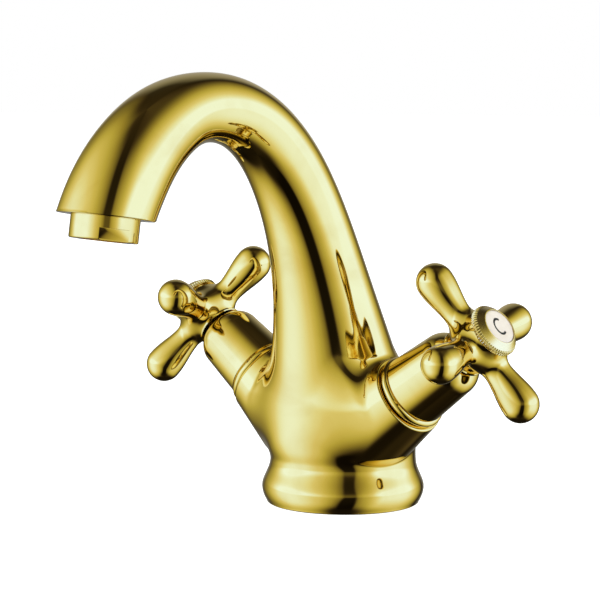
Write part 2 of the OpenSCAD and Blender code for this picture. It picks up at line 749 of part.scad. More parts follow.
// Lip that keeps the insert in the housing, and width of the strainer's rim
lip_w = 1;
strainer_rim = 2;
washer_w = 3.4;
insert_h = skirt_h - insert_inset - insert_top;

module aerator_housing() {
    color(gold) on_mouth() difference() {
        union() {
            translate([0, 0, -aerator_thread])
                cylinder(r = aerator_r, h = aerator_thread + skirt_h - chamfer);
            translate([0, 0, skirt_h - chamfer])
                cylinder(r1 = aerator_r, r2 = aerator_r - chamfer, h = chamfer);
        }
        translate([0, 0, -aerator_thread - lap])
            cylinder(r = aerator_r - aerator_wall, h = aerator_thread + skirt_h - insert_inset + lap);
        cylinder(r = aerator_r - aerator_wall - lip_w, h = skirt_h + lap);
        for (s = [0, 180]) rotate([0, 0, flats_turn + s])
            translate([-aerator_r, -aerator_r - flats_af / 2, skirt_h - flats_h])
                cube([2 * aerator_r, aerator_r, flats_h + lap]);
    }
}

module aerator_insert() {
    color(grey_plastic) on_mouth() translate([0, 0, insert_top]) difference() {
        cylinder(r = insert_r, h = insert_h);
        for (ring = [0 : 3]) for (k = [0 : max(0, 6 * ring - 1)])
            rotate([0, 0, 60 * k / max(ring, 1)]) translate([jet_pitch * ring, 0, -lap])
                cylinder(r = jet_r, h = insert_h + 2 * lap);
    }
}

module aerator_strainer() {
    color(steel) on_mouth() translate([0, 0, insert_top - strainer_h])
        tube(insert_r, insert_r - strainer_rim, strainer_h);
}

module aerator_washer() {
    color(black_rubber) on_mouth() translate([0, 0, -bore_depth])
        tube(aerator_r - seat_gap, aerator_r - washer_w, aerator_washer_h);
}

body();
base_seal();
aerator_housing();
aerator_insert();
aerator_strainer();
aerator_washer();
headwork(cold);  // cold_headwork
seat_seal(cold);  // cold_seat_seal
fixed_disc(cold);  // cold_fixed_disc
moving_disc(cold);  // cold_moving_disc
spindle(cold);  // cold_spindle
spindle_orings(cold);  // cold_spindle_orings
flange_washer(cold);  // cold_flange_washer
retaining_clip(cold);  // cold_retaining_clip
shroud(cold);  // cold_shroud
cross_handle(cold, cold_turn);  // cold_handle
handle_screw(cold);  // cold_handle_screw
index_ring(cold);  // cold_index_ring
index_disc(cold);  // cold_index_disc
headwork(hot);  // hot_headwork
seat_seal(hot);  // hot_seat_seal
fixed_disc(hot);  // hot_fixed_disc
moving_disc(hot);  // hot_moving_disc
spindle(hot);  // hot_spindle
spindle_orings(hot);  // hot_spindle_orings
flange_washer(hot);  // hot_flange_washer
retaining_clip(hot);  // hot_retaining_clip
shroud(hot);  // hot_shroud
cross_handle(hot, hot_turn);  // hot_handle
handle_screw(hot);  // hot_handle_screw
index_ring(hot);  // hot_index_ring
index_disc(hot);  // hot_index_disc
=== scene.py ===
"""Looks of a two-handle basin mixer in polished gold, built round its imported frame.

The sizes below are in millimetres, and every finished mesh is scaled to metres. The spout
points along -Y, the cold handle is on +X and the hot handle on -X.
"""

import json
import math

import bmesh
import bpy
import numpy as np
from mathutils import Matrix, Vector


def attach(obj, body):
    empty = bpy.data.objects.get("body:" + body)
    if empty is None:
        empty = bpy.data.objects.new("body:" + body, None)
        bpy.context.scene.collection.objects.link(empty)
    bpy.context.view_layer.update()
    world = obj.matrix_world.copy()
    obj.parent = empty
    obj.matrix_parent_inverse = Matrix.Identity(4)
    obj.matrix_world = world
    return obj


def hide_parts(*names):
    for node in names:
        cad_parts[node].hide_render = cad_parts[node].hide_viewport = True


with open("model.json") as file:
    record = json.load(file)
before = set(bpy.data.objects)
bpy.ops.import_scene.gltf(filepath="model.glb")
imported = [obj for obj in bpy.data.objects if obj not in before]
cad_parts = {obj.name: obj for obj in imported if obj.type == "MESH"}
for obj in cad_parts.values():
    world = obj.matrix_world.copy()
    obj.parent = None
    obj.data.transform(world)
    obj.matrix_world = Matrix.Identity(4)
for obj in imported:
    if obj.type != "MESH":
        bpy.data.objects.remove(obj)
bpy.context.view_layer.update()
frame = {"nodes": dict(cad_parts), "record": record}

MM = 0.001
COLD, HOT = 1, -1
SIDE_NAMES = {COLD: "cold", HOT: "hot"}

# ---- Foot ----
FOOT_R = 28.6
BULGE_R = 31.0
BULGE_Z = 6.5
# Below 1, the bulge falls away sooner above its widest place
BULGE_FULLNESS = 0.88
WAIST_R = 27.8
WAIST_Z = 17.0
FOOT_EDGE = 0.4
SEAL_OUT_R = 27.1
SEAL_IN_R = 24.7
SEAL_H = 2.0
RECESS_R = 23.2
RECESS_H = 13.0
BOSS_Z = 4.0
BOSS_WALL = 2.8
INLET_X = 11.0
INLET_R = 4.6
STUD_Y = 14.0
STUD_R = 3.5

# ---- Neck and spout ----
ROOT_Z = 30.0
LEAN = math.radians(8.8)
ARCH = np.array([-75.8, 151.6])
MOUTH = np.array([-124.9, 114.9])
MOUTH_SLOPE = math.radians(22.4)
MOUTH_TILT = math.radians(8.6)
TILT_FROM = 1.4
RADIUS_KNOTS = [29.2, 18.3, 14.0, 12.4, 14.7, 16.4, 17.1]
MOUTH_EDGE = 0.4
BORE_R = 12.05
BORE_DEPTH = 7.6
# How far the centreline's handles reach, as a share of each half of the arch
RISE_PULL = (0.444, 0.665)
FALL_PULL = (0.626, 0.211)
CURVE_POINTS = 900
PAST_MOUTH = 12.0
BELOW_FOOT = 5.0
PATH_STEP = 0.25
FOOT_SOFTNESS = 0.8
NECK_SOFTNESS = 4.0
SOFTEN_OVER = (1.0, 10.0)

# ---- Ports ----
PORT_Y = 4.4
PORT_Z = 20.4
PORT_RISE = math.radians(34.8)
PORT_FACE = 43.0
PORT_R = 15.5
PORT_FLARE = 0.15
PORT_LIP = 0.55
PORT_EDGE = 0.6
WASHER_R = 12.1
# The port is thicker on its upper side towards its root
SADDLE = 2.0
SADDLE_FROM, SADDLE_L = 4.0, 22.0
# Width of the fillet between port and neck: at the waist, added by the belly, added by the neck
BLEND_MIN, BLEND_BELLY, BLEND_NECK = 0.6, 11.0, 3.5
BLEND_RISE = 26.0
NECK_RISE = 20.0
# The fillet narrows over this length before the port's end, up to a height
BLEND_END = 10.0
BLEND_FULL_Z = 80.0
# The ports are drawn in at the waist, fading upwards
WAIST_INSET, WAIST_INSET_H = 1.0, 4.0
THREAD_R = 10.45
THREAD_H = 10.0
VALVE_BORE_R = 9.8
SEAT_U = 18.0

# ---- Shroud, along a port's axis from where the two axes cross ----
BEAD_FROM = 44.0
BEAD_W = 3.0
BEAD_R = 14.6
GROOVE_W = 0.5
GROOVE_R = 13.0
CONE_FOOT_R = 13.55
CONE_TOP_R = 12.4
SHOULDER_U = 66.0
SHOULDER_ROUND = 8.0
SHOULDER_H = 7.0
# Down from the top: its underside, and where the inner bevel meets the wall
SHROUD_TOP_WALL = 3.8
SHROUD_BEVEL_W, SHROUD_BEVEL_FOOT = 1.5, 6.0
SHROUD_BORE_R = 12.3
SHROUD_BORE_TOP = 53.0
SHROUD_WALL = 1.6
HOLE_EDGE = 0.25
SPINDLE_HOLE_R = 5.0

# ---- Cross handle, its axis along z and its arms' plane at z = 0 ----
HUB_U = 82.0
ARM_L = 26.9
BALL_R = 7.0
ARM_WAIST_R = 5.1
ARM_WAIST_L = 11.5
HUB_NECK_R = 7.2
HUB_R = 10.2
CROWN_R = 9.0
CROWN_FOOT = 5.1
CROWN_H = 7.9
COLLAR_R = 9.2
COLLAR_Z = -7.1
HANDLE_FOOT_Z = -8.3
TURNED_EDGE = 0.3
WEB_BLEND = 5.0
HUB_BLEND = 5.0
ARM_ROOT_SWELL = 0.8
ARM_ROOT_L = 6.0
ARM_ROOT_MAX = 1.2
SOCKET_WALL = 2.4
SOCKET_FLOOR = 0.3
DRIVE_R = 3.95
SCREW_HOLE_R = 2.5
STEM_R = 6.65
SCREW_HEAD_Z = 3.0
SPINDLE_TOP_Z = 2.1
TURN = {COLD: math.radians(13.7), HOT: math.radians(23.4)}

# ---- Index ring and disc, above the crown ----
RING_R = 10.2
RING_WALL_H = 1.5
RING_BEVEL = 0.9
RING_H = 4.3
RING_IN_R = 6.78
RING_LIP = 0.3
REEDS = 60
REED_DEPTH = 0.5
# Below 1, the reeds have flatter tops and steeper sides
REED_SQUARENESS = 0.7
SIDES_PER_REED = 6
STEM_H = 2.2
STEM_CLEAR = 0.1
DISC_R = 6.7
DISC_H = 1.4
DISC_DROP = 0.2
DISC_EDGE = 0.35
LETTER_STROKE = 0.9
LETTER_H = 7.0
LETTER_W = 5.6
LETTER_OPENING = math.radians(105)
LETTER_RISE = 0.04
LETTER_SEAT = 0.02
LETTER_TURN = math.radians(5)

# ---- Aerator ----
AERATOR_R = 12.0
AERATOR_TOP = -6.0
SKIRT_H = 8.1
AERATOR_EDGE = 0.5
AERATOR_WALL = 1.6
AERATOR_LIP = 1.0
LIP_DEPTH = 1.2
FLATS_AF = 21.4
FLATS_H = 4.2
FLATS_EDGE = 0.12
FLATS_TURN = math.radians(-65)

ROUND_SIDES = 128
SHARP_ANGLE = math.radians(30)
# Offsets without a name in the turned outlines only ease an edge

# What the cuts may touch: below a height at the foot, past (y, z) at the mouth, down and round a
# port's end, and past a height on a hub
FOOT_CUT_Z = 5.0
MOUTH_CUT = (-100.0, 130.0)
PORT_CUT_DEPTH, PORT_CUT_SPARE = 8.0, 2.0
HUB_CUT_Z = 4.0
CUT_TOLERANCE = 1e-4
NEAR = 1e-3


# ---- Shaping tools ----
def ease(t):
    """From 0 to 1, level at both ends."""
    t = np.clip(t, 0, 1)
    return t * t * (3 - 2 * t)


def arc(centre, radius, from_angle, to_angle, steps=6):
    """Points (r, z) of an arc, with angles in degrees from the r axis."""
    return [
        (centre[0] + radius * math.cos(math.radians(a)), centre[1] + radius * math.sin(math.radians(a)))
        for a in np.linspace(from_angle, to_angle, steps + 1)
    ]


def spun(bm, outline, sides=ROUND_SIDES):
    """Turns an outline of points (r, z) about z. It is closed, or starts and ends on the axis."""
    points = [bm.verts.new((r, 0, z)) for r, z in outline]
    on_axis = outline[0][0] == 0
    pairs = list(zip(points, points[1:])) + ([] if on_axis else [(points[-1], points[0])])
    edges = [bm.edges.new(pair) for pair in pairs]
    bmesh.ops.spin(
        bm, geom=points + edges, cent=(0, 0, 0), axis=(0, 0, 1), angle=2 * math.pi,
        steps=sides, use_merge=True,
    )
    bmesh.ops.remove_doubles(bm, verts=bm.verts[:], dist=CUT_TOLERANCE)


def extruded(bm, edges):
    """Extrudes edges in place, and gives the new vertices, edges and faces."""
    made = bmesh.ops.extrude_edge_only(bm, edges=edges)["geom"]
    return [[g for g in made if isinstance(g, kind)]
            for kind in (bmesh.types.BMVert, bmesh.types.BMEdge, bmesh.types.BMFace)]


def turned_end(bm, edges, place, rings, close=True):
    """Carries an open round edge through rings (r, z) about the z axis of place."""
    back = place.inverted()
    for radius, height in rings:
        verts, edges, _ = extruded(bm, edges)
        for vert in verts:
            local = back @ vert.co
            reach = math.hypot(local.x, local.y)
            vert.co = place @ Vector((local.x * radius / reach, local.y * radius / reach, height))
    if close:
        bmesh.ops.contextual_create(bm, geom=edges)
    return edges


def with_corners(faces):
    """Faces with their vertices and edges, for a cut."""
    return [*{v for f in faces for v in f.verts}, *{e for f in faces for e in f.edges}, *faces]


def cut_off(bm, place, near):
    """Drops what lies above the xy plane of place, where near says so, and gives the cut's edges."""
    outward = place.to_3x3() @ Vector((0, 0, 1))
    faces = [f for f in bm.faces if near(f.calc_center_median())]
    cut = bmesh.ops.bisect_plane(
        bm, geom=with_corners(faces), dist=CUT_TOLERANCE, plane_co=place.translation,
        plane_no=outward, clear_outer=True)
    return [e for e in cut["geom_cut"] if isinstance(e, bmesh.types.BMEdge)]


def new_object(name, bm, material):
    """Object of a finished mesh, linked to the scene."""
    mesh = bpy.data.meshes.new(name)
    bm.to_mesh(mesh)
    bm.free()
    mesh.materials.append(material)
    thing = bpy.data.objects.new(name, mesh)
    bpy.context.scene.collection.objects.link(thing)
    return thing


def finish_piece(bm, name, material, body, nodes=(), place=None):
    """Makes the object of a mesh in millimetres, moved to its place and scaled to metres."""
    if place is not None:
        bmesh.ops.transform(bm, matrix=place, verts=bm.verts[:])
    bmesh.ops.scale(bm, vec=(MM, MM, MM), verts=bm.verts[:])
    bmesh.ops.recalc_face_normals(bm, faces=bm.faces[:])
    for face in bm.faces:
        face.smooth = True
    for edge in bm.edges:
        edge.smooth = edge.calc_face_angle(0) < SHARP_ANGLE
    piece = new_object(name, bm, material)
    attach(piece, body)
    if nodes:
        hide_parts(*nodes)
    return piece


def smooth_min(a, b, width):
    """The lesser of two depths, rounded off where they are nearly alike."""
    return np.minimum(a, b) - np.maximum(width - np.abs(a - b), 0) ** 2 / (4 * width)


def settle(bm, depth, rounds=4, probe=0.02, reach=2.5):
    """Moves every vertex onto the surface where its depth is nought."""
    points = np.array([v.co for v in bm.verts])
    for _ in range(rounds):
        value = depth(points)
        slope = np.stack([(depth(points + step) - value) / probe for step in probe * np.eye(3)], 1)
        move = -value[:, None] * slope / np.maximum((slope ** 2).sum(1), 1e-6)[:, None]
        length = np.linalg.norm(move, axis=1, keepdims=True)
        points += move * np.minimum(1, reach / np.maximum(length, 1e-9))
    for vert, point in zip(bm.verts, points):
        vert.co = point


def refine(bm, depth, levels):
    """Splits every face in four, evens the points out and settles them, level by level."""
    settle(bm, depth)
    for _ in range(levels):
        bmesh.ops.subdivide_edges(bm, edges=bm.edges[:], cuts=1, use_grid_fill=True)
        inner = [v for v in bm.verts if not v.is_boundary]
        for _ in range(2):
            bmesh.ops.smooth_vert(
                bm, verts=inner, factor=0.5, use_axis_x=True, use_axis_y=True, use_axis_z=True)
        settle(bm, depth)


# ---- Places on a port's axis and on the aerator's axis ----
def on_port(side, turn=0.0, along=0.0):
    """Its z axis runs out along a port's axis, from where the two axes cross."""
    return (
        Matrix.Translation((0, -PORT_Y, PORT_Z))
        @ Matrix.Rotation(side * (math.pi / 2 - PORT_RISE), 4, "Y")
        @ Matrix.Rotation(turn, 4, "Z")
        @ Matrix.Translation((0, 0, along))
    )


def on_mouth(turn=0.0, along=0.0):
    """Its z axis runs out of the mouth, along the water."""
    return (
        Matrix.Translation((0, *MOUTH))
        @ Matrix.Rotation(math.pi - MOUTH_TILT, 4, "X")
        @ Matrix.Rotation(turn, 4, "Z")
        @ Matrix.Translation((0, 0, along))
    )


# ---- Centreline of foot, neck and spout ----
def bezier(p, t):
    """Points of a cubic curve with the four corners p."""
    t = t[:, None]
    return (1 - t) ** 3 * p[0] + 3 * (1 - t) ** 2 * t * p[1] + 3 * (1 - t) * t * t * p[2] + t ** 3 * p[3]


def foot_radius(z):
    """Radius of the foot up to its waist, widest at the bulge."""
    low = BULGE_R - (BULGE_R - FOOT_R) * (1 - np.clip(z / BULGE_Z, 0, 1)) ** 2
    rise = np.clip((z - BULGE_Z) / (WAIST_Z - BULGE_Z), 0, 1)
    high = WAIST_R + (BULGE_R - WAIST_R) * (1 + np.cos(math.pi * rise ** BULGE_FULLNESS)) / 2
    return np.where(z < BULGE_Z, low, high)


def neck_radius(g):
    """Outer radius from station 0 at the root, through 1 at the arch's top, to 2 at the mouth."""
    first, last = RADIUS_KNOTS[0], RADIUS_KNOTS[-1]
    knots = np.array([2 * first - RADIUS_KNOTS[1], *RADIUS_KNOTS, 2 * last - RADIUS_KNOTS[-2]])
    spans = len(RADIUS_KNOTS) - 1
    s = np.clip(g / 2 * spans, 0, spans - 1e-6)
    i = s.astype(int)
    t = s - i
    a, b, c, d = (knots[i + k] for k in range(4))
    return 0.5 * (2 * b + (c - a) * t + (2 * a - 5 * b + 4 * c - d) * t ** 2
                  + (3 * b - a - 3 * c + d) * t ** 3)


def softened(values, softness):
    """Running mean of evenly spaced values under a bell curve."""
    reach = int(4 * softness / PATH_STEP)
    bell = np.exp(-0.5 * (np.arange(-reach, reach + 1) * PATH_STEP / softness) ** 2)
    padded = np.pad(values, reach, mode="reflect", reflect_type="odd")
    return np.convolve(padded, bell / bell.sum(), mode="valid")


def make_spine():
    """Rows of centre y and z, tilt of the ring and radius, evenly spaced along the centreline."""
    z = np.arange(-BELOW_FOOT, WAIST_Z, 0.1)
    foot = np.stack([0 * z, z, 0 * z, foot_radius(z)], 1)

    root = np.array([-(ROOT_Z - WAIST_Z) * math.tan(LEAN), ROOT_Z])
    t = np.linspace(0, 1, 60, endpoint=False)
    waist = np.stack([root[0] * t, WAIST_Z + (ROOT_Z - WAIST_Z) * t, LEAN * t,
                      WAIST_R + (RADIUS_KNOTS[0] - WAIST_R) * ease(t)], 1)

    up = np.array([-math.sin(LEAN), math.cos(LEAN)])
    out = np.array([math.sin(MOUTH_SLOPE), math.cos(MOUTH_SLOPE)])
    rise = [root, root + RISE_PULL[0] * (ARCH[1] - ROOT_Z) * up,
            ARCH + [RISE_PULL[1] * (root[0] - ARCH[0]), 0], ARCH]
    fall = [ARCH, ARCH - [FALL_PULL[0] * (ARCH[0] - MOUTH[0]), 0],
            MOUTH + FALL_PULL[1] * (ARCH[1] - MOUTH[1]) * out, MOUTH]
    t = np.linspace(0, 1, CURVE_POINTS, endpoint=False)
    way = np.concatenate([bezier(rise, t), bezier(fall, t)])
    g = np.concatenate([t, 1 + t])
    heading = np.gradient(way, axis=0)
    tilt = np.unwrap(np.arctan2(-heading[:, 0], heading[:, 1]))
    tilt += (MOUTH_SLOPE - MOUTH_TILT) * ease((g - TILT_FROM) / (2 - TILT_FROM))
    neck = np.column_stack([way, tilt, neck_radius(g)])

    past = np.linspace(0, PAST_MOUTH, 60)
    beyond = np.column_stack([MOUTH[0] - past * out[0], MOUTH[1] - past * out[1],
                              0 * past + neck[-1, 2], 0 * past + RADIUS_KNOTS[-1]])

    rows = np.concatenate([foot, waist, neck, beyond])
    length = np.concatenate([[0], np.cumsum(np.linalg.norm(np.diff(rows[:, :2], axis=0), axis=1))])
    even = np.arange(0, length[-1], PATH_STEP)
    rows = np.stack([np.interp(even, length, column) for column in rows.T], 1)
    fine = np.stack([softened(column, FOOT_SOFTNESS) for column in rows.T], 1)
    soft = np.stack([softened(column, NECK_SOFTNESS) for column in rows.T], 1)
    above_waist = even - WAIST_Z - BELOW_FOOT
    start, end = SOFTEN_OVER
    mix = ease((above_waist - start) / (end - start))[:, None]
    return fine * (1 - mix) + soft * mix


SPINE = make_spine()
CENTRES = np.column_stack([0 * SPINE[:, 0], SPINE[:, 0], SPINE[:, 1]])
AXES = np.column_stack([0 * SPINE[:, 2], -np.sin(SPINE[:, 2]), np.cos(SPINE[:, 2])])
RADII = SPINE[:, 3]


def between(table, index):
    """Rows of a table at indices that may lie between two rows."""
    low = np.clip(index.astype(int), 0, len(table) - 2)
    part = index - low
    part = part[:, None] if table.ndim > 1 else part
    return table[low] * (1 - part) + table[low + 1] * part


def nearest_row(points, coarse=8, batch=4000):
    """Index of the centreline's row that lies nearest each point, to the coarse step."""
    found = []
    for k in range(0, len(points), batch):
        gap = points[k:k + batch, None, :] - CENTRES[None, ::coarse, :]
        found.append(coarse * (gap ** 2).sum(2).argmin(1))
    return np.concatenate(found).astype(float)


def skin_depth(points, rounds=6):
    """Distance outside the body's skin, and below nought inside it."""
    index = nearest_row(points)
    for _ in range(rounds):
        ahead = ((points - between(CENTRES, index)) * between(AXES, index)).sum(1)
        index = np.clip(index + ahead / PATH_STEP, 0, len(RADII) - 1.001)
    spoke = points - between(CENTRES, index)
    axis = between(AXES, index)
    spoke -= (spoke * axis).sum(1)[:, None] * axis
    neck = np.linalg.norm(spoke, axis=1) - between(RADII, index)

    ports = []
    for side in (COLD, HOT):
        way = np.array([side * math.cos(PORT_RISE), 0, math.sin(PORT_RISE)])
        reach = points - [0, -PORT_Y, PORT_Z]
        along = reach @ way
        off = np.linalg.norm(reach - along[:, None] * way, axis=1)
        upward = reach @ [-side * math.sin(PORT_RISE), 0, math.cos(PORT_RISE)] / np.maximum(off, 1)
        saddle = SADDLE * ease((PORT_FACE - SADDLE_FROM - along) / SADDLE_L) * np.clip(upward, 0, 1) ** 2
        ports.append(np.maximum(off - PORT_R - PORT_FLARE * (PORT_FACE - along) - saddle, -along))
    above = points[:, 2] - WAIST_Z
    before_end = PORT_FACE + PORT_LIP - (np.abs(points[:, 0]) * math.cos(PORT_RISE)
                                         + (points[:, 2] - PORT_Z) * math.sin(PORT_RISE))
    narrowed = np.where(points[:, 2] > BLEND_FULL_Z, 1, ease(before_end / BLEND_END))
    width = BLEND_BELLY * ease(above / BLEND_RISE) + BLEND_NECK * ease((above - BLEND_RISE) / NECK_RISE)
    width = BLEND_MIN + width * narrowed
    drawn_back = WAIST_INSET * (1 - ease(above / WAIST_INSET_H))
    return smooth_min(neck, np.minimum(*ports) + drawn_back, width)


# ---- Body ----
CAGE_SIDES = 24
BODY_LEVELS = 3
FOOT_ROWS = [-3.5, 0, 3.2, 6.5, 10, 13.5, 16.5, 19]
PORT_ROWS = [19, 26, 33, 40, 48, 56, 64]
NECK_ROW = 8.0
# Radius and place of a branch's last two rings, the second past the port's face
PORT_RING = (15.7, 42.5)
PORT_END = (15.5, 47.5)
SPARE_ROWS = 6


def body_cage(bm):
    """Coarse tube from below the foot to past the mouth, with an open branch for each port."""
    half = len(SPINE) // 2
    low = [float(np.interp(z, SPINE[:half, 1], np.arange(half))) for z in FOOT_ROWS + PORT_ROWS[1:]]
    last = len(SPINE) - SPARE_ROWS
    high = np.linspace(low[-1], last, int((last - low[-1]) * PATH_STEP / NECK_ROW))
    bmesh.ops.create_circle(bm, segments=CAGE_SIDES, radius=1)
    verts, edges = bm.verts[:], bm.edges[:]
    before = Matrix.Identity(4)
    patches = {COLD: [], HOT: []}
    for row, station in enumerate([*low, *high[1:]]):
        faces = []
        if row:
            verts, edges, faces = extruded(bm, edges)
        index = np.array([station])
        centre = Vector(between(CENTRES, index)[0])
        place = (Matrix.Translation(centre) @ Matrix.Rotation(between(SPINE[:, 2], index)[0], 4, "X")
                 @ Matrix.Scale(between(RADII, index)[0], 4))
        bmesh.ops.transform(bm, matrix=place @ before.inverted(), verts=verts)
        before = place
        if len(FOOT_ROWS) <= row < len(low):
            for face in faces:
                spoke = face.calc_center_median() - centre
                if abs(spoke.x) > abs(spoke.y):
                    patches[COLD if spoke.x > 0 else HOT].append(face)
    for side, patch in patches.items():
        rim = {e for f in patch for e in f.edges if any(g not in patch for g in e.link_faces)}
        bmesh.ops.delete(bm, geom=patch, context="FACES")
        place = on_port(side)
        edges = list(rim)
        for (radius, along), part in ((PORT_RING, 0.5), (PORT_RING, 1), (PORT_END, 1)):
            verts, edges, _ = extruded(bm, edges)
            for vert in verts:
                local = place.inverted() @ vert.co
                reach = local.xy.length
                wide = (reach + (radius - reach) * part) / reach
                vert.co = place @ Vector((local.x * wide, local.y * wide,
                                          local.z + (along - local.z) * part))


def make_body(material):
    """The casting's whole skin, with its ring groove, hollow foot, threaded ports and mouth."""
    bm = bmesh.new()
    body_cage(bm)
    refine(bm, skin_depth, BODY_LEVELS)

    upside_down = Matrix.Rotation(math.pi, 4, "X")
    foot = cut_off(bm, upside_down @ Matrix.Translation((0, 0, -FOOT_EDGE)), lambda p: p.z < FOOT_CUT_Z)
    turned_end(bm, foot, upside_down, [
        *arc((FOOT_R - FOOT_EDGE, -FOOT_EDGE), FOOT_EDGE, 0, 90, 4)[1:],
        (SEAL_OUT_R, 0), (SEAL_OUT_R, -SEAL_H), (SEAL_IN_R, -SEAL_H), (SEAL_IN_R, 0),
        (RECESS_R + FOOT_EDGE, 0), (RECESS_R, -FOOT_EDGE), (RECESS_R, -RECESS_H)])

    for side in (COLD, HOT):
        to_axis = on_port(side).inverted()
        end = PORT_FACE + PORT_LIP

        def at_port_end(p):
            local = to_axis @ p
            return local.z > PORT_RING[1] - PORT_CUT_DEPTH and local.xy.length < PORT_R + PORT_CUT_SPARE

        face = cut_off(bm, on_port(side, along=end - PORT_EDGE), at_port_end)
        turned_end(bm, face, on_port(side), [
            *arc((PORT_R - PORT_EDGE, end - PORT_EDGE), PORT_EDGE, 0, 90)[1:],
            (WASHER_R, end), (WASHER_R, PORT_FACE),
            (THREAD_R + TURNED_EDGE, PORT_FACE), (THREAD_R, PORT_FACE - TURNED_EDGE),
            (THREAD_R, PORT_FACE - THREAD_H), (VALVE_BORE_R, PORT_FACE - THREAD_H),
            (VALVE_BORE_R, SEAT_U)])

    rim = cut_off(bm, on_mouth(along=-MOUTH_EDGE),
                  lambda p: p.y < MOUTH_CUT[0] and p.z < MOUTH_CUT[1])
    turned_end(bm, rim, on_mouth(), [
        *arc((RADIUS_KNOTS[-1] - MOUTH_EDGE, -MOUTH_EDGE), MOUTH_EDGE, 0, 90)[1:],
        (BORE_R + TURNED_EDGE, 0), (BORE_R, -TURNED_EDGE), (BORE_R, -BORE_DEPTH)])

    for x, y, hole_r in ((INLET_X, -PORT_Y, INLET_R), (-INLET_X, -PORT_Y, INLET_R), (0, STUD_Y, STUD_R)):
        boss = bmesh.new()
        spun(boss, [(hole_r + TURNED_EDGE, BOSS_Z), (hole_r + BOSS_WALL - TURNED_EDGE, BOSS_Z),
                    (hole_r + BOSS_WALL, BOSS_Z + TURNED_EDGE), (hole_r + BOSS_WALL, RECESS_H),
                    (hole_r, RECESS_H), (hole_r, BOSS_Z + TURNED_EDGE)], 48)
        bmesh.ops.translate(boss, vec=(x, y, 0), verts=boss.verts[:])
        part = bpy.data.meshes.new("boss")
        boss.to_mesh(part)
        boss.free()
        bm.from_mesh(part)
        bpy.data.meshes.remove(part)
    return finish_piece(bm, "mixer_body", material, "mixer", ["body"])


# ---- Shrouds ----
def make_shroud(side, material):
    """Conical shroud with a beaded foot, a rounded shoulder and a hole for the spindle."""
    bead = (BEAD_R - BEAD_W / 2, BEAD_FROM + BEAD_W / 2)
    groove_from = BEAD_FROM + BEAD_W
    cone_from = groove_from + GROOVE_W
    shoulder_angle = math.degrees(math.asin(SHOULDER_H / SHOULDER_ROUND))
    shoulder = (CONE_TOP_R - SHOULDER_ROUND, SHOULDER_U)
    top = SHOULDER_U + SHOULDER_H
    top_r = shoulder[0] + SHOULDER_ROUND * math.cos(math.radians(shoulder_angle))
    wall_r = CONE_TOP_R - SHROUD_WALL
    under = top - SHROUD_TOP_WALL
    bm = bmesh.new()
    spun(bm, [
        (SHROUD_BORE_R, BEAD_FROM), (bead[0] - 0.3, BEAD_FROM),
        *arc(bead, BEAD_W / 2, -88, 88, 14),
        (GROOVE_R, groove_from), (GROOVE_R, cone_from),
        (CONE_FOOT_R - 0.2, cone_from), (CONE_FOOT_R, cone_from + 0.2),
        *[(CONE_FOOT_R + (CONE_TOP_R - CONE_FOOT_R) * t, cone_from + (SHOULDER_U - cone_from) * t)
          for t in (0.05, 0.2, 0.4, 0.6, 0.8, 0.93)],
        *arc(shoulder, SHOULDER_ROUND, 0, shoulder_angle - 3, 20),
        (top_r - 0.15, top - 0.05), (top_r - 0.4, top),
        (SPINDLE_HOLE_R + HOLE_EDGE, top), (SPINDLE_HOLE_R, top - HOLE_EDGE), (SPINDLE_HOLE_R, under),
        (wall_r - SHROUD_BEVEL_W, under), (wall_r, top - SHROUD_BEVEL_FOOT), (wall_r, SHROUD_BORE_TOP),
        (SHROUD_BORE_R, SHROUD_BORE_TOP)])
    name = SIDE_NAMES[side] + "_shroud"
    return finish_piece(bm, name + "_turned", material, "mixer", [name], on_port(side))


# ---- Cross handles ----
# Size of the first cube, then the reach and half width of each ring drawn out of its faces
CROSS_CORE = 12.5
ARM_SEGMENTS = [(12.5, 4.4), (18.0, 4.8), (24.0, 5.6), (29.5, 5.4), (32.5, 3.4)]
NECK_SEGMENTS = [(9.5, 5.4)]
CROWN_SEGMENTS = [(10.5, 6.4)]
CROSS_LEVELS = 4


def arm_radius(d):
    """Radius at a distance from the hub's axis: swelling into the hub and into the ball end."""
    root = ARM_WAIST_R + ARM_ROOT_SWELL * np.maximum(
        1 - (d - ARM_ROOT_L) / (ARM_WAIST_L - ARM_ROOT_L), 0) ** 2
    swell = np.clip((d - ARM_WAIST_L) / (ARM_L - ARM_WAIST_L), 0, 1)
    tip = ARM_WAIST_R + (BALL_R - ARM_WAIST_R) * np.sin(math.pi / 2 * swell) ** 2
    return np.where(d < ARM_WAIST_L, np.minimum(root, ARM_WAIST_R + ARM_ROOT_MAX), tip)


def hub_radius(z):
    """Radius of the hub between its neck and the crown."""
    low = HUB_NECK_R + (HUB_R - HUB_NECK_R) * ease((z - COLLAR_Z) / -COLLAR_Z)
    high = HUB_R + (CROWN_R - HUB_R) * ease(z / CROWN_FOOT)
    return np.where(z < 0, low, high)


def cross_depth(points):
    """Distance outside the cross handle's skin: two pairs of arms and a hub, blended."""
    x, y, z = points.T
    arms = []
    for d, side in ((np.abs(x), y), (np.abs(y), x)):
        shaft = np.hypot(side, z) - arm_radius(d)
        ball = np.sqrt((d - ARM_L) ** 2 + side ** 2 + z ** 2) - BALL_R
        arms.append(np.where(d < ARM_L, shaft, ball))
    hub = np.hypot(x, y) - hub_radius(z)
    return smooth_min(smooth_min(*arms, WEB_BLEND), hub, HUB_BLEND)


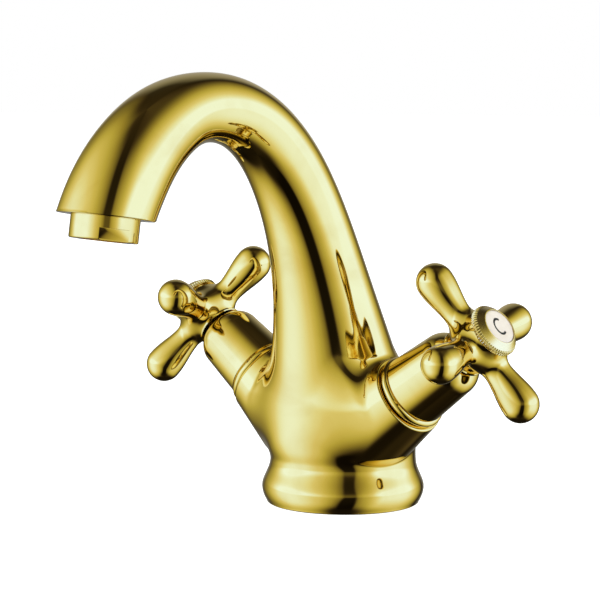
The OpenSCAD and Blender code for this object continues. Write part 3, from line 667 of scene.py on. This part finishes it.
def cross_cage(bm):
    """A cube with every face drawn out into an arm, the neck or the crown."""
    bmesh.ops.create_cube(bm, size=CROSS_CORE)
    for face in bm.faces[:]:
        way = face.normal.copy()
        segments = ARM_SEGMENTS if abs(way.z) < 0.5 else CROWN_SEGMENTS if way.z > 0 else NECK_SEGMENTS
        for reach, half in segments:
            face = bmesh.ops.extrude_discrete_faces(bm, faces=[face])["faces"][0]
            for vert in face.verts:
                across = vert.co - way * vert.co.dot(way)
                vert.co = way * reach + across * (half * math.sqrt(2) / across.length)


def make_handle(side, material):
    """Cross handle with a collar and a socket below, and a crown bored for the index ring above."""
    bm = bmesh.new()
    cross_cage(bm)
    refine(bm, cross_depth, CROSS_LEVELS)
    here = Matrix.Identity(4)
    upside_down = Matrix.Rotation(math.pi, 4, "X")

    foot = cut_off(bm, upside_down @ Matrix.Translation((0, 0, -COLLAR_Z)), lambda p: p.z < -HUB_CUT_Z)
    foot = turned_end(bm, foot, here, [
        (COLLAR_R - TURNED_EDGE, COLLAR_Z), (COLLAR_R, COLLAR_Z - TURNED_EDGE),
        (COLLAR_R, HANDLE_FOOT_Z + TURNED_EDGE), (COLLAR_R - TURNED_EDGE, HANDLE_FOOT_Z),
        (DRIVE_R + SOCKET_WALL, HANDLE_FOOT_Z), (DRIVE_R + SOCKET_WALL, COLLAR_Z), (DRIVE_R, COLLAR_Z),
        (DRIVE_R, SPINDLE_TOP_Z - SOCKET_FLOOR), (SCREW_HOLE_R, SPINDLE_TOP_Z - SOCKET_FLOOR)],
        close=False)

    crown = cut_off(bm, Matrix.Translation((0, 0, CROWN_H - TURNED_EDGE)), lambda p: p.z > HUB_CUT_Z)
    crown = turned_end(bm, crown, here, [
        (CROWN_R - TURNED_EDGE, CROWN_H), (STEM_R, CROWN_H), (STEM_R, SCREW_HEAD_Z),
        (SCREW_HOLE_R, SCREW_HEAD_Z)], close=False)
    bmesh.ops.bridge_loops(bm, edges=foot + crown)

    name = SIDE_NAMES[side]
    return finish_piece(bm, name + "_cross_handle", material, name + "_control",
                        [name + "_handle"], on_port(side, TURN[side], HUB_U))


# ---- Index rings, discs and letters ----
def make_index_ring(side, material):
    """Ring with a reeded wall, a bevel, a smooth sloping face and a stem that screws in."""
    bm = bmesh.new()
    stem_r = STEM_R - STEM_CLEAR
    spun(bm, [
        (0, -STEM_H), (stem_r, -STEM_H), (stem_r, 0), (RING_R - 0.45, 0),
        (RING_R - 0.25, 0.05), (RING_R, 0.3), (RING_R, RING_WALL_H - 0.1),
        (RING_R - 0.12, RING_WALL_H + 0.1), (RING_R - RING_BEVEL, RING_WALL_H + RING_BEVEL),
        (RING_R - RING_BEVEL - 0.3, RING_WALL_H + RING_BEVEL + 0.12),
        (RING_IN_R + RING_LIP + 0.25, RING_H - 0.12), (RING_IN_R + RING_LIP, RING_H),
        (RING_IN_R + 0.08, RING_H), (RING_IN_R, RING_H - 0.08),
        (RING_IN_R, RING_H - DISC_DROP - DISC_H), (0, RING_H - DISC_DROP - DISC_H)],
        REEDS * SIDES_PER_REED)
    for vert in bm.verts:
        reach = math.hypot(vert.co.x, vert.co.y)
        if reach > RING_R - 0.3 and 0.02 < vert.co.z < RING_WALL_H + 0.15:
            phase = math.cos(REEDS * math.atan2(vert.co.y, vert.co.x))
            depth = REED_DEPTH * (1 - abs(phase) ** REED_SQUARENESS * math.copysign(1, phase)) / 2
            vert.co.x *= 1 - depth / reach
            vert.co.y *= 1 - depth / reach
    name = SIDE_NAMES[side]
    return finish_piece(bm, name + "_reeded_ring", material, name + "_control",
                        [name + "_index_ring"], on_port(side, along=HUB_U + CROWN_H))


def disc_place(side):
    """Face of the porcelain disc, with x to the reader's right and y up for the letter."""
    upright = math.radians(90) if side == COLD else math.radians(-90)
    return on_port(side, upright + LETTER_TURN, HUB_U + CROWN_H + RING_H - DISC_DROP)


def make_index_disc(side, material):
    """Porcelain disc with a rounded edge and a faintly domed face."""
    bm = bmesh.new()
    spun(bm, [(0, -DISC_H), (DISC_R, -DISC_H), *arc((DISC_R - DISC_EDGE, -DISC_EDGE), DISC_EDGE, 0, 90, 5),
              (DISC_R * 0.7, 0.012), (DISC_R * 0.35, 0.02), (0, 0.022)], 96)
    name = SIDE_NAMES[side]
    return finish_piece(bm, name + "_porcelain_disc", material, name + "_control",
                        [name + "_index_disc"], disc_place(side))


def letter_c(bm):
    """Narrow ring of enamel with an opening on its right."""
    inner = LETTER_H / 2 - LETTER_STROKE
    corners = [bm.verts.new((r, 0, z)) for r, z in
               ((inner, 0), (LETTER_H / 2, 0), (LETTER_H / 2, LETTER_RISE), (inner, LETTER_RISE))]
    section = bm.faces.new(corners)
    bmesh.ops.rotate(bm, verts=corners, cent=(0, 0, 0), matrix=Matrix.Rotation(LETTER_OPENING / 2, 3, "Z"))
    bmesh.ops.spin(bm, geom=[section], cent=(0, 0, 0), axis=(0, 0, 1),
                   angle=2 * math.pi - LETTER_OPENING, steps=56)
    bmesh.ops.scale(bm, vec=(LETTER_W / LETTER_H, 1, 1), verts=bm.verts[:])


def letter_h(bm):
    """Two uprights and a bar of enamel."""
    bar = LETTER_W - LETTER_STROKE
    for x, w, h in ((-1, LETTER_STROKE, LETTER_H), (1, LETTER_STROKE, LETTER_H), (0, bar, LETTER_STROKE)):
        made = bmesh.ops.create_cube(bm, size=1)["verts"]
        bmesh.ops.scale(bm, vec=(w, h, LETTER_RISE), verts=made)
        bmesh.ops.translate(bm, vec=(x * bar / 2, 0, LETTER_RISE / 2), verts=made)


def make_letter(side, material):
    """C on the cold side's disc, H on the hot side's."""
    bm = bmesh.new()
    (letter_c if side == COLD else letter_h)(bm)
    bmesh.ops.translate(bm, vec=(0, 0, LETTER_SEAT), verts=bm.verts[:])
    name = SIDE_NAMES[side]
    return finish_piece(bm, name + "_letter", material, name + "_control",
                        place=disc_place(side))


# ---- Aerator ----
def make_aerator(material):
    """Housing with an inner lip and two wrench flats cut into its skirt."""
    bm = bmesh.new()
    ledge = SKIRT_H - FLATS_H
    bore = AERATOR_R - AERATOR_WALL
    spun(bm, [
        (bore, AERATOR_TOP), (AERATOR_R, AERATOR_TOP), (AERATOR_R, ledge),
        (AERATOR_R, SKIRT_H - AERATOR_EDGE),
        *arc((AERATOR_R - AERATOR_EDGE, SKIRT_H - AERATOR_EDGE), AERATOR_EDGE, 15, 90, 5),
        (bore - AERATOR_LIP, SKIRT_H), (bore - AERATOR_LIP, SKIRT_H - LIP_DEPTH),
        (bore, SKIRT_H - LIP_DEPTH)])
    for way in (1, -1):
        plane = Vector((0, way * FLATS_AF / 2, 0))
        low = [f for f in bm.faces if f.calc_center_median().z > ledge - 0.01
               and f.calc_center_median().y * way > 0 and f.calc_center_median().xy.length > bore - 1]
        bmesh.ops.bisect_plane(bm, geom=with_corners(low), dist=CUT_TOLERANCE, plane_co=plane,
                               plane_no=plane.normalized())
        beyond = [f for f in bm.faces if f.calc_center_median().y * way > FLATS_AF / 2 + NEAR
                  and f.calc_center_median().z > ledge]
        bmesh.ops.delete(bm, geom=beyond, context="FACES")
        ends = [v for v in bm.verts if abs(v.co.z - ledge) < NEAR
                and abs(v.co.y * way - FLATS_AF / 2) < NEAR]
        bm.edges.new(ends)
        bmesh.ops.holes_fill(bm, edges=[e for e in bm.edges if not e.is_manifold], sides=0)
    sharp = [e for e in bm.edges if e.calc_face_angle(0) > SHARP_ANGLE
             and all(abs(abs(v.co.y) - FLATS_AF / 2) < NEAR for v in e.verts)]
    bmesh.ops.bevel(
        bm, geom=sharp, offset=FLATS_EDGE, segments=2, profile=0.5, affect="EDGES", material=-1)
    return finish_piece(bm, "aerator_skirt", material, "mixer",
                        ["aerator_housing"], on_mouth(FLATS_TURN))


# ---- Shader building ----
def put(tree, socket, item):
    """Links an output to a socket, or sets its value."""
    if isinstance(item, bpy.types.NodeSocket):
        tree.links.new(item, socket)
    else:
        socket.default_value = item


def add(tree, kind, inputs=None, **settings):
    """Adds a node, sets it up and fills its inputs."""
    node = tree.nodes.new("ShaderNode" + kind)
    for key, value in settings.items():
        setattr(node, key, value)
    for key, item in (inputs or {}).items():
        put(tree, node.inputs[key], item)
    return node


def calc(tree, operation, *items, clamp=False):
    """Works out one step of arithmetic."""
    node = add(tree, "Math", dict(enumerate(items)), operation=operation, use_clamp=clamp)
    return node.outputs[0]


def ranged(tree, value, low, high, to_low=0.0, to_high=1.0):
    """Carries a value over from one range to another, and holds it there."""
    return add(tree, "MapRange", {"Value": value, "From Min": low, "From Max": high,
                                  "To Min": to_low, "To Max": to_high}).outputs[0]


def noise(tree, place, scale, detail, **more):
    """Cloudy values round a half."""
    inputs = {"Vector": place, "Scale": scale, "Detail": detail, **more}
    return add(tree, "TexNoise", inputs).outputs["Fac"]


def curve(tree, value, low, high, table, smooth="B_SPLINE"):
    """Reads a value off a table of {place: strength or colour}."""
    node = add(tree, "ValToRGB", {"Fac": ranged(tree, value, low, high)})
    ramp = node.color_ramp
    ramp.interpolation = smooth
    stops = sorted(table.items())
    while len(ramp.elements) < len(stops):
        ramp.elements.new(1.0)
    for element, (at, tone) in zip(ramp.elements, stops):
        element.position = (at - low) / (high - low)
        element.color = (*tone, 1) if isinstance(tone, tuple) else (tone, tone, tone, 1)
    return node.outputs["Color"]


def new_group(name, inputs, outputs):
    """Empty node group, with its input node and output node."""
    tree = bpy.data.node_groups.new(name, "ShaderNodeTree")
    for label, kind, value in inputs:
        socket = tree.interface.new_socket(name=label, in_out="INPUT", socket_type="NodeSocket" + kind)
        if value is not None:
            socket.default_value = value
    for label, kind in outputs:
        tree.interface.new_socket(name=label, in_out="OUTPUT", socket_type="NodeSocket" + kind)
    return tree, tree.nodes.new("NodeGroupInput").outputs, tree.nodes.new("NodeGroupOutput").inputs


# Roughness that each kind of mark adds at its strongest
SMEAR_DULLNESS, HAIR_DULLNESS, PIN_DULLNESS = 0.10, 0.06, 0.12


def polish_group():
    """Hand-polished metal: a faint waviness, hairlines, soft smears and rare pin marks."""
    tree, given, result = new_group(
        "Polish",
        [("Coordinates", "Vector", None), ("Hairlines", "Float", 0.3), ("Smears", "Float", 0.3),
         ("Waves", "Float", 0.3), ("Gloss", "Float", 0.05)],
        [("Roughness", "Float"), ("Smear Mask", "Float"), ("Normal", "Vector")])
    broad = noise(tree, given["Coordinates"], 38.0, 3.0, Roughness=0.55, Distortion=0.6)
    smear = ranged(tree, broad, 0.5, 0.72)
    put(tree, result["Smear Mask"], smear)

    stretched = add(tree, "Mapping", {"Vector": given["Coordinates"], "Scale": (900.0, 900.0, 90.0),
                                      "Rotation": (0.35, 0.2, 0.6)}).outputs[0]
    hair = ranged(tree, noise(tree, stretched, 1.0, 4.0), 0.56, 0.78)
    hair = calc(tree, "MULTIPLY", hair, given["Hairlines"])

    pins = add(tree, "TexVoronoi", {"Vector": given["Coordinates"], "Scale": 170.0}).outputs["Distance"]
    pins = calc(tree, "MULTIPLY", ranged(tree, pins, 0.07, 0.03), given["Smears"])

    rough = calc(tree, "MULTIPLY", calc(tree, "MULTIPLY", smear, given["Smears"]), SMEAR_DULLNESS)
    rough = calc(tree, "ADD", calc(tree, "MULTIPLY", hair, HAIR_DULLNESS), rough)
    rough = calc(tree, "ADD", calc(tree, "MULTIPLY", pins, PIN_DULLNESS), rough)
    put(tree, result["Roughness"], calc(tree, "ADD", rough, given["Gloss"], clamp=True))

    waves = noise(tree, given["Coordinates"], 55.0, 1.0)
    rolled = add(tree, "Bump", {"Height": waves, "Strength": given["Waves"], "Distance": 0.0001}).outputs[0]
    scored = add(tree, "Bump", {"Height": hair, "Strength": 0.08, "Distance": 0.00002,
                                "Normal": rolled}).outputs[0]
    put(tree, result["Normal"], scored)
    return tree


def grain_group():
    """Fine grain over a cloudy unevenness, for turned, moulded, fired and rubbery matter."""
    tree, given, result = new_group(
        "Fine Grain",
        [("Coordinates", "Vector", None), ("Scale", "Float", 900.0), ("Depth", "Float", 0.2)],
        [("Mask", "Float"), ("Normal", "Vector")])
    grain = noise(tree, given["Coordinates"], given["Scale"], 4.0, Roughness=0.6)
    cloud = noise(tree, given["Coordinates"], 120.0, 2.0)
    mask = calc(tree, "ADD", calc(tree, "MULTIPLY", grain, 0.5), calc(tree, "MULTIPLY", cloud, 0.5))
    put(tree, result["Mask"], mask)
    put(tree, result["Normal"], add(tree, "Bump", {"Height": grain, "Strength": given["Depth"],
                                                   "Distance": 0.0001}).outputs[0])
    return tree


POLISH = polish_group()
GRAIN = grain_group()


def new_material(name):
    """A material, its tree, its shader and its Object coordinates."""
    material = bpy.data.materials.new(name)
    material.use_nodes = True
    tree = material.node_tree
    return material, tree, tree.nodes["Principled BSDF"], add(tree, "TexCoord").outputs["Object"]


def two_tone(tree, mask, dark, light):
    """Colour that goes from dark to light as the mask goes from 0 to 1."""
    node = add(tree, "Mix", data_type="RGBA")
    put(tree, node.inputs["Factor"], mask)
    colours = [s for s in node.inputs if s.type == "RGBA"]
    colours[0].default_value = (*dark, 1)
    colours[1].default_value = (*light, 1)
    return next(s for s in node.outputs if s.type == "RGBA")


COAT_ROUGHNESS = 0.04


def polished_metal(name, deep, bright, gloss, hairlines, smears, waves):
    """Mirror-polished plating, a little deeper in tone where it was wiped."""
    material, tree, shader, place = new_material(name)
    group = add(tree, "Group", node_tree=POLISH, inputs={
        "Coordinates": place, "Hairlines": hairlines, "Smears": smears, "Waves": waves, "Gloss": gloss})
    put(tree, shader.inputs["Base Color"], two_tone(tree, group.outputs["Smear Mask"], bright, deep))
    put(tree, shader.inputs["Roughness"], group.outputs["Roughness"])
    put(tree, shader.inputs["Normal"], group.outputs["Normal"])
    shader.inputs["Metallic"].default_value = 1.0
    return material


def grained(name, dark, light, rough, metallic, scale, depth, coat=0.0):
    """Turned, moulded, fired or rubbery matter with a fine grain."""
    material, tree, shader, place = new_material(name)
    group = add(tree, "Group", node_tree=GRAIN, inputs={
        "Coordinates": place, "Scale": scale, "Depth": depth})
    mask = group.outputs["Mask"]
    put(tree, shader.inputs["Base Color"], two_tone(tree, ranged(tree, mask, 0.35, 0.65), dark, light))
    put(tree, shader.inputs["Roughness"], ranged(tree, mask, 0.3, 0.7, *rough))
    put(tree, shader.inputs["Normal"], group.outputs["Normal"])
    shader.inputs["Metallic"].default_value = metallic
    shader.inputs["Coat Weight"].default_value = coat
    shader.inputs["Coat Roughness"].default_value = COAT_ROUGHNESS
    return material


# Polished metals: colour where wiped, colour, gloss, hairlines, smears and waves.
# Grained ones: dark and light colour, range of roughness, metallic, scale, depth and coat.
MATERIALS = {
    "polished_gold": polished_metal(
        "Polished gold", (0.84, 0.62, 0.19), (0.90, 0.70, 0.24), 0.04, 0.25, 0.2, 0.05),
    "pale_gold": polished_metal("Pale gold", (0.92, 0.72, 0.30), (0.97, 0.79, 0.37), 0.24, 0.6, 0.4, 0.05),
    "raw_brass": grained(
        "Raw brass", (0.55, 0.38, 0.14), (0.72, 0.55, 0.24), (0.22, 0.38), 1.0, 700.0, 0.12),
    "steel": grained(
        "Stainless steel", (0.55, 0.56, 0.57), (0.68, 0.69, 0.70), (0.2, 0.34), 1.0, 900.0, 0.1),
    "valve_ceramic": grained(
        "Valve ceramic", (0.80, 0.78, 0.72), (0.88, 0.87, 0.82), (0.12, 0.25), 0.0, 500.0, 0.02, 0.3),
    "porcelain": grained(
        "Cream porcelain", (0.72, 0.64, 0.56), (0.82, 0.75, 0.67), (0.3, 0.42), 0.0, 260.0, 0.02, 0.4),
    "seal_rubber": grained(
        "Seal rubber", (0.012, 0.012, 0.012), (0.035, 0.034, 0.033), (0.55, 0.8), 0.0, 1400.0, 0.3),
    "aerator_plastic": grained(
        "Aerator plastic", (0.58, 0.59, 0.60), (0.68, 0.69, 0.70), (0.35, 0.5), 0.0, 1000.0, 0.12),
}
ENAMEL = grained("Black enamel", (0.004, 0.004, 0.005), (0.014, 0.013, 0.012), (0.45, 0.6), 0.0, 900.0, 0.05)


# ---- Finishes of the nodes, and the pieces ----
for row in frame["record"]["subparts"]:
    for slot in frame["nodes"][row["node"]].material_slots:
        slot.material = MATERIALS[row["material_slot"]]

make_body(MATERIALS["polished_gold"])
make_aerator(MATERIALS["polished_gold"])
for side in (COLD, HOT):
    make_shroud(side, MATERIALS["polished_gold"])
    make_handle(side, MATERIALS["polished_gold"])
    make_index_ring(side, MATERIALS["pale_gold"])
    make_index_disc(side, MATERIALS["porcelain"])
    make_letter(side, ENAMEL)


# ---- Camera ----
CAMERA_TURN = math.radians(40.71)
CAMERA_RISE = math.radians(6.13)
CAMERA_ROLL = math.radians(0.53)
CAMERA_DISTANCE = 0.9366
CAMERA_TARGET = Vector((0, 0, 0.075))
FOCAL_LENGTH = 147.891
SENSOR_W = 36
CLIP_START = 0.01
SHIFT = (-0.0743, 0.0105)

back = Vector((math.sin(CAMERA_TURN) * math.cos(CAMERA_RISE),
               -math.cos(CAMERA_TURN) * math.cos(CAMERA_RISE), math.sin(CAMERA_RISE)))
level = Vector((math.cos(CAMERA_TURN), math.sin(CAMERA_TURN), 0))
upward = back.cross(level)
right = level * math.cos(CAMERA_ROLL) + upward * math.sin(CAMERA_ROLL)
top = upward * math.cos(CAMERA_ROLL) - level * math.sin(CAMERA_ROLL)
camera = bpy.data.objects.new("Camera", bpy.data.cameras.new("Camera"))
bpy.context.scene.collection.objects.link(camera)
camera.matrix_world = (Matrix.Translation(CAMERA_TARGET + back * CAMERA_DISTANCE)
                       @ Matrix((right, top, back)).transposed().to_4x4())
camera.data.sensor_width = SENSOR_W
camera.data.lens = FOCAL_LENGTH
camera.data.shift_x, camera.data.shift_y = SHIFT
camera.data.clip_start = CLIP_START
bpy.context.scene.camera = camera


# ---- Studio: a wide pale floor in a dome with two large soft lights and a backdrop ----
# Lamps for the matt surfaces alone: metres to the right, towards the camera and up, and watts
FILL_LAMPS = [(1.6, 1.6, 1.6, 38.0), (-1.6, 1.6, 1.8, 26.0),
              (1.6, -1.6, 1.6, 26.0), (-1.6, -1.6, 1.6, 26.0)]
FILL_SIZE = 1.6
DOME_R = 6.0
FLOOR_R = 5.0
FLOOR_GLOW = 0.82
FLOOR_TONES = (0.66, 0.67, 0.70), (0.70, 0.71, 0.74)
BACKDROP_COLOUR = (0.95, 0.97, 1.0, 1)
LIGHT_LEVEL = 2.6
# Strength of each light across its width, by degrees to the right of the camera as the tap sees it
LEFT_ACROSS = {-180: 0.0, -160: 0.0, -153: 0.06, -146: 0.20, -139: 0.29, -132: 0.42, -124: 0.62,
               -115: 0.76, -104: 0.89, -90: 0.94, -70: 0.94, -50: 0.86, -32: 0.74, -20: 0.56, -11: 0.40,
               -6: 0.28, -2: 0.18, 0: 0.10, 2: 0.02, 4: 0.0, 180: 0.0}
RIGHT_ACROSS = {-180: 0.0, 14: 0.0, 17.5: 0.0, 19: 0.06, 20.5: 0.18, 23: 0.28, 29: 0.42, 39: 0.60,
                49: 0.82, 60: 0.94, 95: 0.94, 110: 0.90, 123: 0.74, 132: 0.52, 140: 0.28, 146: 0.08,
                150: 0.0, 180: 0.0}
# The same by degrees of height
LEFT_UP = {-90: 0.005, -80: 0.01, -75: 0.03, -70: 0.14, -65: 0.33, -59: 0.55, -52: 0.76, -44: 0.9,
           -34: 0.97, -10: 1.0, 10: 1.0, 30: 0.93, 40: 0.87, 50: 0.75, 60: 0.58, 68: 0.41, 75: 0.19,
           81: 0.05, 86: 0.01, 90: 0.01}
RIGHT_UP = {-90: 0.005, -77: 0.01, -72: 0.04, -66: 0.17, -58: 0.50, -48: 0.80, -30: 0.96, -15: 1.0, 20: 1.0,
            30: 0.9, 40: 0.74, 50: 0.5, 58: 0.26, 66: 0.08, 74: 0.03, 90: 0.03}
BACKDROP_ACROSS = {-180: 1.0, -164: 0.9, -158: 0.5, -153: 0.15, -148: 0.0, 148: 0.0, 153: 0.15, 158: 0.5,
                   164: 0.9, 180: 1.0}
BACKDROP_UP = {-90: 0.0, -45: 0.0, -30: 0.06, -18: 0.16, 0: 0.34, 20: 0.38, 34: 0.34, 44: 0.26, 54: 0.08,
               60: 0.0, 90: 0.0}
# What the rest of the room gives back at each height
ROOM = {-90: 0.012, -64: 0.008, -56: 0.004, -3: 0.004, 0: 0.012, 4: 0.10, 12: 0.12, 18: 0.07, 25: 0.015,
        45: 0.012, 60: 0.02, 90: 0.035}
# How the lights' corners are rounded, by the square of the degrees from the middle
LEFT_MIDDLE, LEFT_ROUND_BELOW, LEFT_ROUND_ABOVE = -75, 8.5e-5, 4e-5
RIGHT_MIDDLE, RIGHT_ROUND_BELOW, RIGHT_ROUND_ABOVE = 75, 5.5e-5, 5e-5
# How far the left light's inner edge draws back, for each degree below the horizon and each high up,
# and between which places across it the shift grows
INNER_BELOW, INNER_ABOVE, INNER_FROM = 0.23, 0.1, 35
SHIFTED_FROM, SHIFTED_TO = -60.0, -10.0
# Tint of the light, from dim to bright
TINT = {0.0: (0.0, 0.0, 0.0), 0.05: (0.05, 0.038, 0.022), 0.32: (0.32, 0.29, 0.085),
        0.52: (0.52, 0.50, 0.17), 0.66: (0.66, 0.64, 0.31), 0.78: (0.78, 0.80, 0.60),
        0.84: (0.84, 0.95, 0.98), 0.89: (0.88, 1.08, 1.46), 0.97: (0.97, 1.30, 2.4)}


def dome_material():
    """Light of the studio by direction: two lights, the room, and the backdrop behind the tap."""
    material = bpy.data.materials.new("Studio light")
    material.use_nodes = True
    tree = material.node_tree
    tree.nodes.clear()
    place = add(tree, "TexCoord").outputs["Object"]
    place = add(tree, "VectorMath", {0: place}, operation="NORMALIZE").outputs[0]

    def part(direction):
        return add(tree, "VectorMath", {0: place, 1: direction}, operation="DOT_PRODUCT").outputs["Value"]

    turn = calc(tree, "DEGREES", calc(tree, "ARCTAN2", part(tuple(level)),
                                      part((math.sin(CAMERA_TURN), -math.cos(CAMERA_TURN), 0.0))))
    height = calc(tree, "DEGREES", calc(tree, "ARCSINE", part((0.0, 0.0, 1.0))))

    below = calc(tree, "MINIMUM", height, 0.0)
    above = calc(tree, "MAXIMUM", height, 0.0)

    def light(across, up, turned=turn, raised=height):
        return calc(tree, "MULTIPLY", curve(tree, turned, -180, 180, across),
                    curve(tree, raised, -90, 90, up))

    def rounded_height(middle, round_below, round_above):
        """Height that grows towards a light's sides, so that its corners are round."""
        aside = calc(tree, "POWER", calc(tree, "SUBTRACT", turn, float(middle)), 2.0)
        low = calc(tree, "MULTIPLY", below, calc(tree, "MULTIPLY_ADD", aside, round_below, 1.0))
        high = calc(tree, "MULTIPLY", above, calc(tree, "MULTIPLY_ADD", aside, round_above, 1.0))
        return calc(tree, "MINIMUM", calc(tree, "MAXIMUM", calc(tree, "ADD", low, high), -90.0), 90.0)

    high_up = calc(tree, "MAXIMUM", calc(tree, "SUBTRACT", height, float(INNER_FROM)), 0.0)
    inner = calc(tree, "MULTIPLY_ADD", below, -INNER_BELOW, calc(tree, "MULTIPLY", high_up, INNER_ABOVE))
    near_gap = ranged(tree, turn, SHIFTED_FROM, SHIFTED_TO)
    left_turn = calc(tree, "MULTIPLY_ADD", inner, near_gap, turn)
    soft = calc(tree, "ADD",
                light(LEFT_ACROSS, LEFT_UP, left_turn,
                      rounded_height(LEFT_MIDDLE, LEFT_ROUND_BELOW, LEFT_ROUND_ABOVE)),
                light(RIGHT_ACROSS, RIGHT_UP, turn,
                      rounded_height(RIGHT_MIDDLE, RIGHT_ROUND_BELOW, RIGHT_ROUND_ABOVE)))
    soft = calc(tree, "ADD", soft, curve(tree, height, -90, 90, ROOM))
    tones = {at: tuple(c / LIGHT_LEVEL for c in tone) for at, tone in TINT.items()}
    tinted = curve(tree, soft, 0, 1, tones, "LINEAR")
    behind = light(BACKDROP_ACROSS, BACKDROP_UP)
    glow = add(tree, "Emission", {"Color": tinted, "Strength": LIGHT_LEVEL})
    backdrop = add(tree, "Emission", {"Color": BACKDROP_COLOUR, "Strength": behind})
    both = add(tree, "AddShader", {0: glow.outputs[0], 1: backdrop.outputs[0]})
    put(tree, add(tree, "OutputMaterial").inputs["Surface"], both.outputs[0])
    return material


def seen_directly(tree):
    """One for what the camera sees itself, in a mirror or through glass."""
    path = add(tree, "LightPath").outputs
    seen = calc(tree, "ADD", path["Is Camera Ray"], path["Is Glossy Ray"])
    return calc(tree, "ADD", seen, path["Is Transmission Ray"], clamp=True)


def floor_material(glow):
    """Pale matt floor that shows as white where nothing shades it."""
    material, tree, shader, place = new_material("Studio floor")
    put(tree, shader.inputs["Base Color"], two_tone(tree, noise(tree, place, 60.0, 3.0), *FLOOR_TONES))
    shader.inputs["Roughness"].default_value = 0.9
    shader.inputs["Emission Color"].default_value = (1, 1, 1, 1)
    put(tree, shader.inputs["Emission Strength"], calc(tree, "MULTIPLY", seen_directly(tree), glow))
    return material


def stage_object(name, bm, material):
    """An object of the studio, which is no part of the tap."""
    thing = new_object(name, bm, material)
    return thing


bm = bmesh.new()
bmesh.ops.create_icosphere(bm, subdivisions=5, radius=DOME_R)
bmesh.ops.reverse_faces(bm, faces=bm.faces[:])
dome = stage_object("studio_dome", bm, dome_material())
dome.visible_camera = False

bm = bmesh.new()
bmesh.ops.create_circle(bm, cap_ends=True, segments=64, radius=FLOOR_R)
floor = stage_object("studio_floor", bm, floor_material(FLOOR_GLOW))
floor.visible_glossy = False

ahead = Vector((back.x, back.y, 0)).normalized()
for aside, forward, raised, power in FILL_LAMPS:
    lamp = bpy.data.lights.new("fill", "AREA")
    lamp.size = FILL_SIZE
    lamp.energy = power
    spot = bpy.data.objects.new("fill_lamp", lamp)
    bpy.context.scene.collection.objects.link(spot)
    spot.location = level * aside + ahead * forward + Vector((0, 0, raised))
    spot.rotation_euler = (CAMERA_TARGET - spot.location).to_track_quat("-Z", "Y").to_euler()
    spot.visible_glossy = False
    spot.visible_camera = False

world = bpy.data.worlds.new("Studio")
bpy.context.scene.world = world
world.use_nodes = True
background = world.node_tree.nodes["Background"]
background.inputs["Color"].default_value = (1, 1, 1, 1)
put(world.node_tree, background.inputs["Strength"], seen_directly(world.node_tree))

bpy.context.scene.view_settings.view_transform = "Standard"
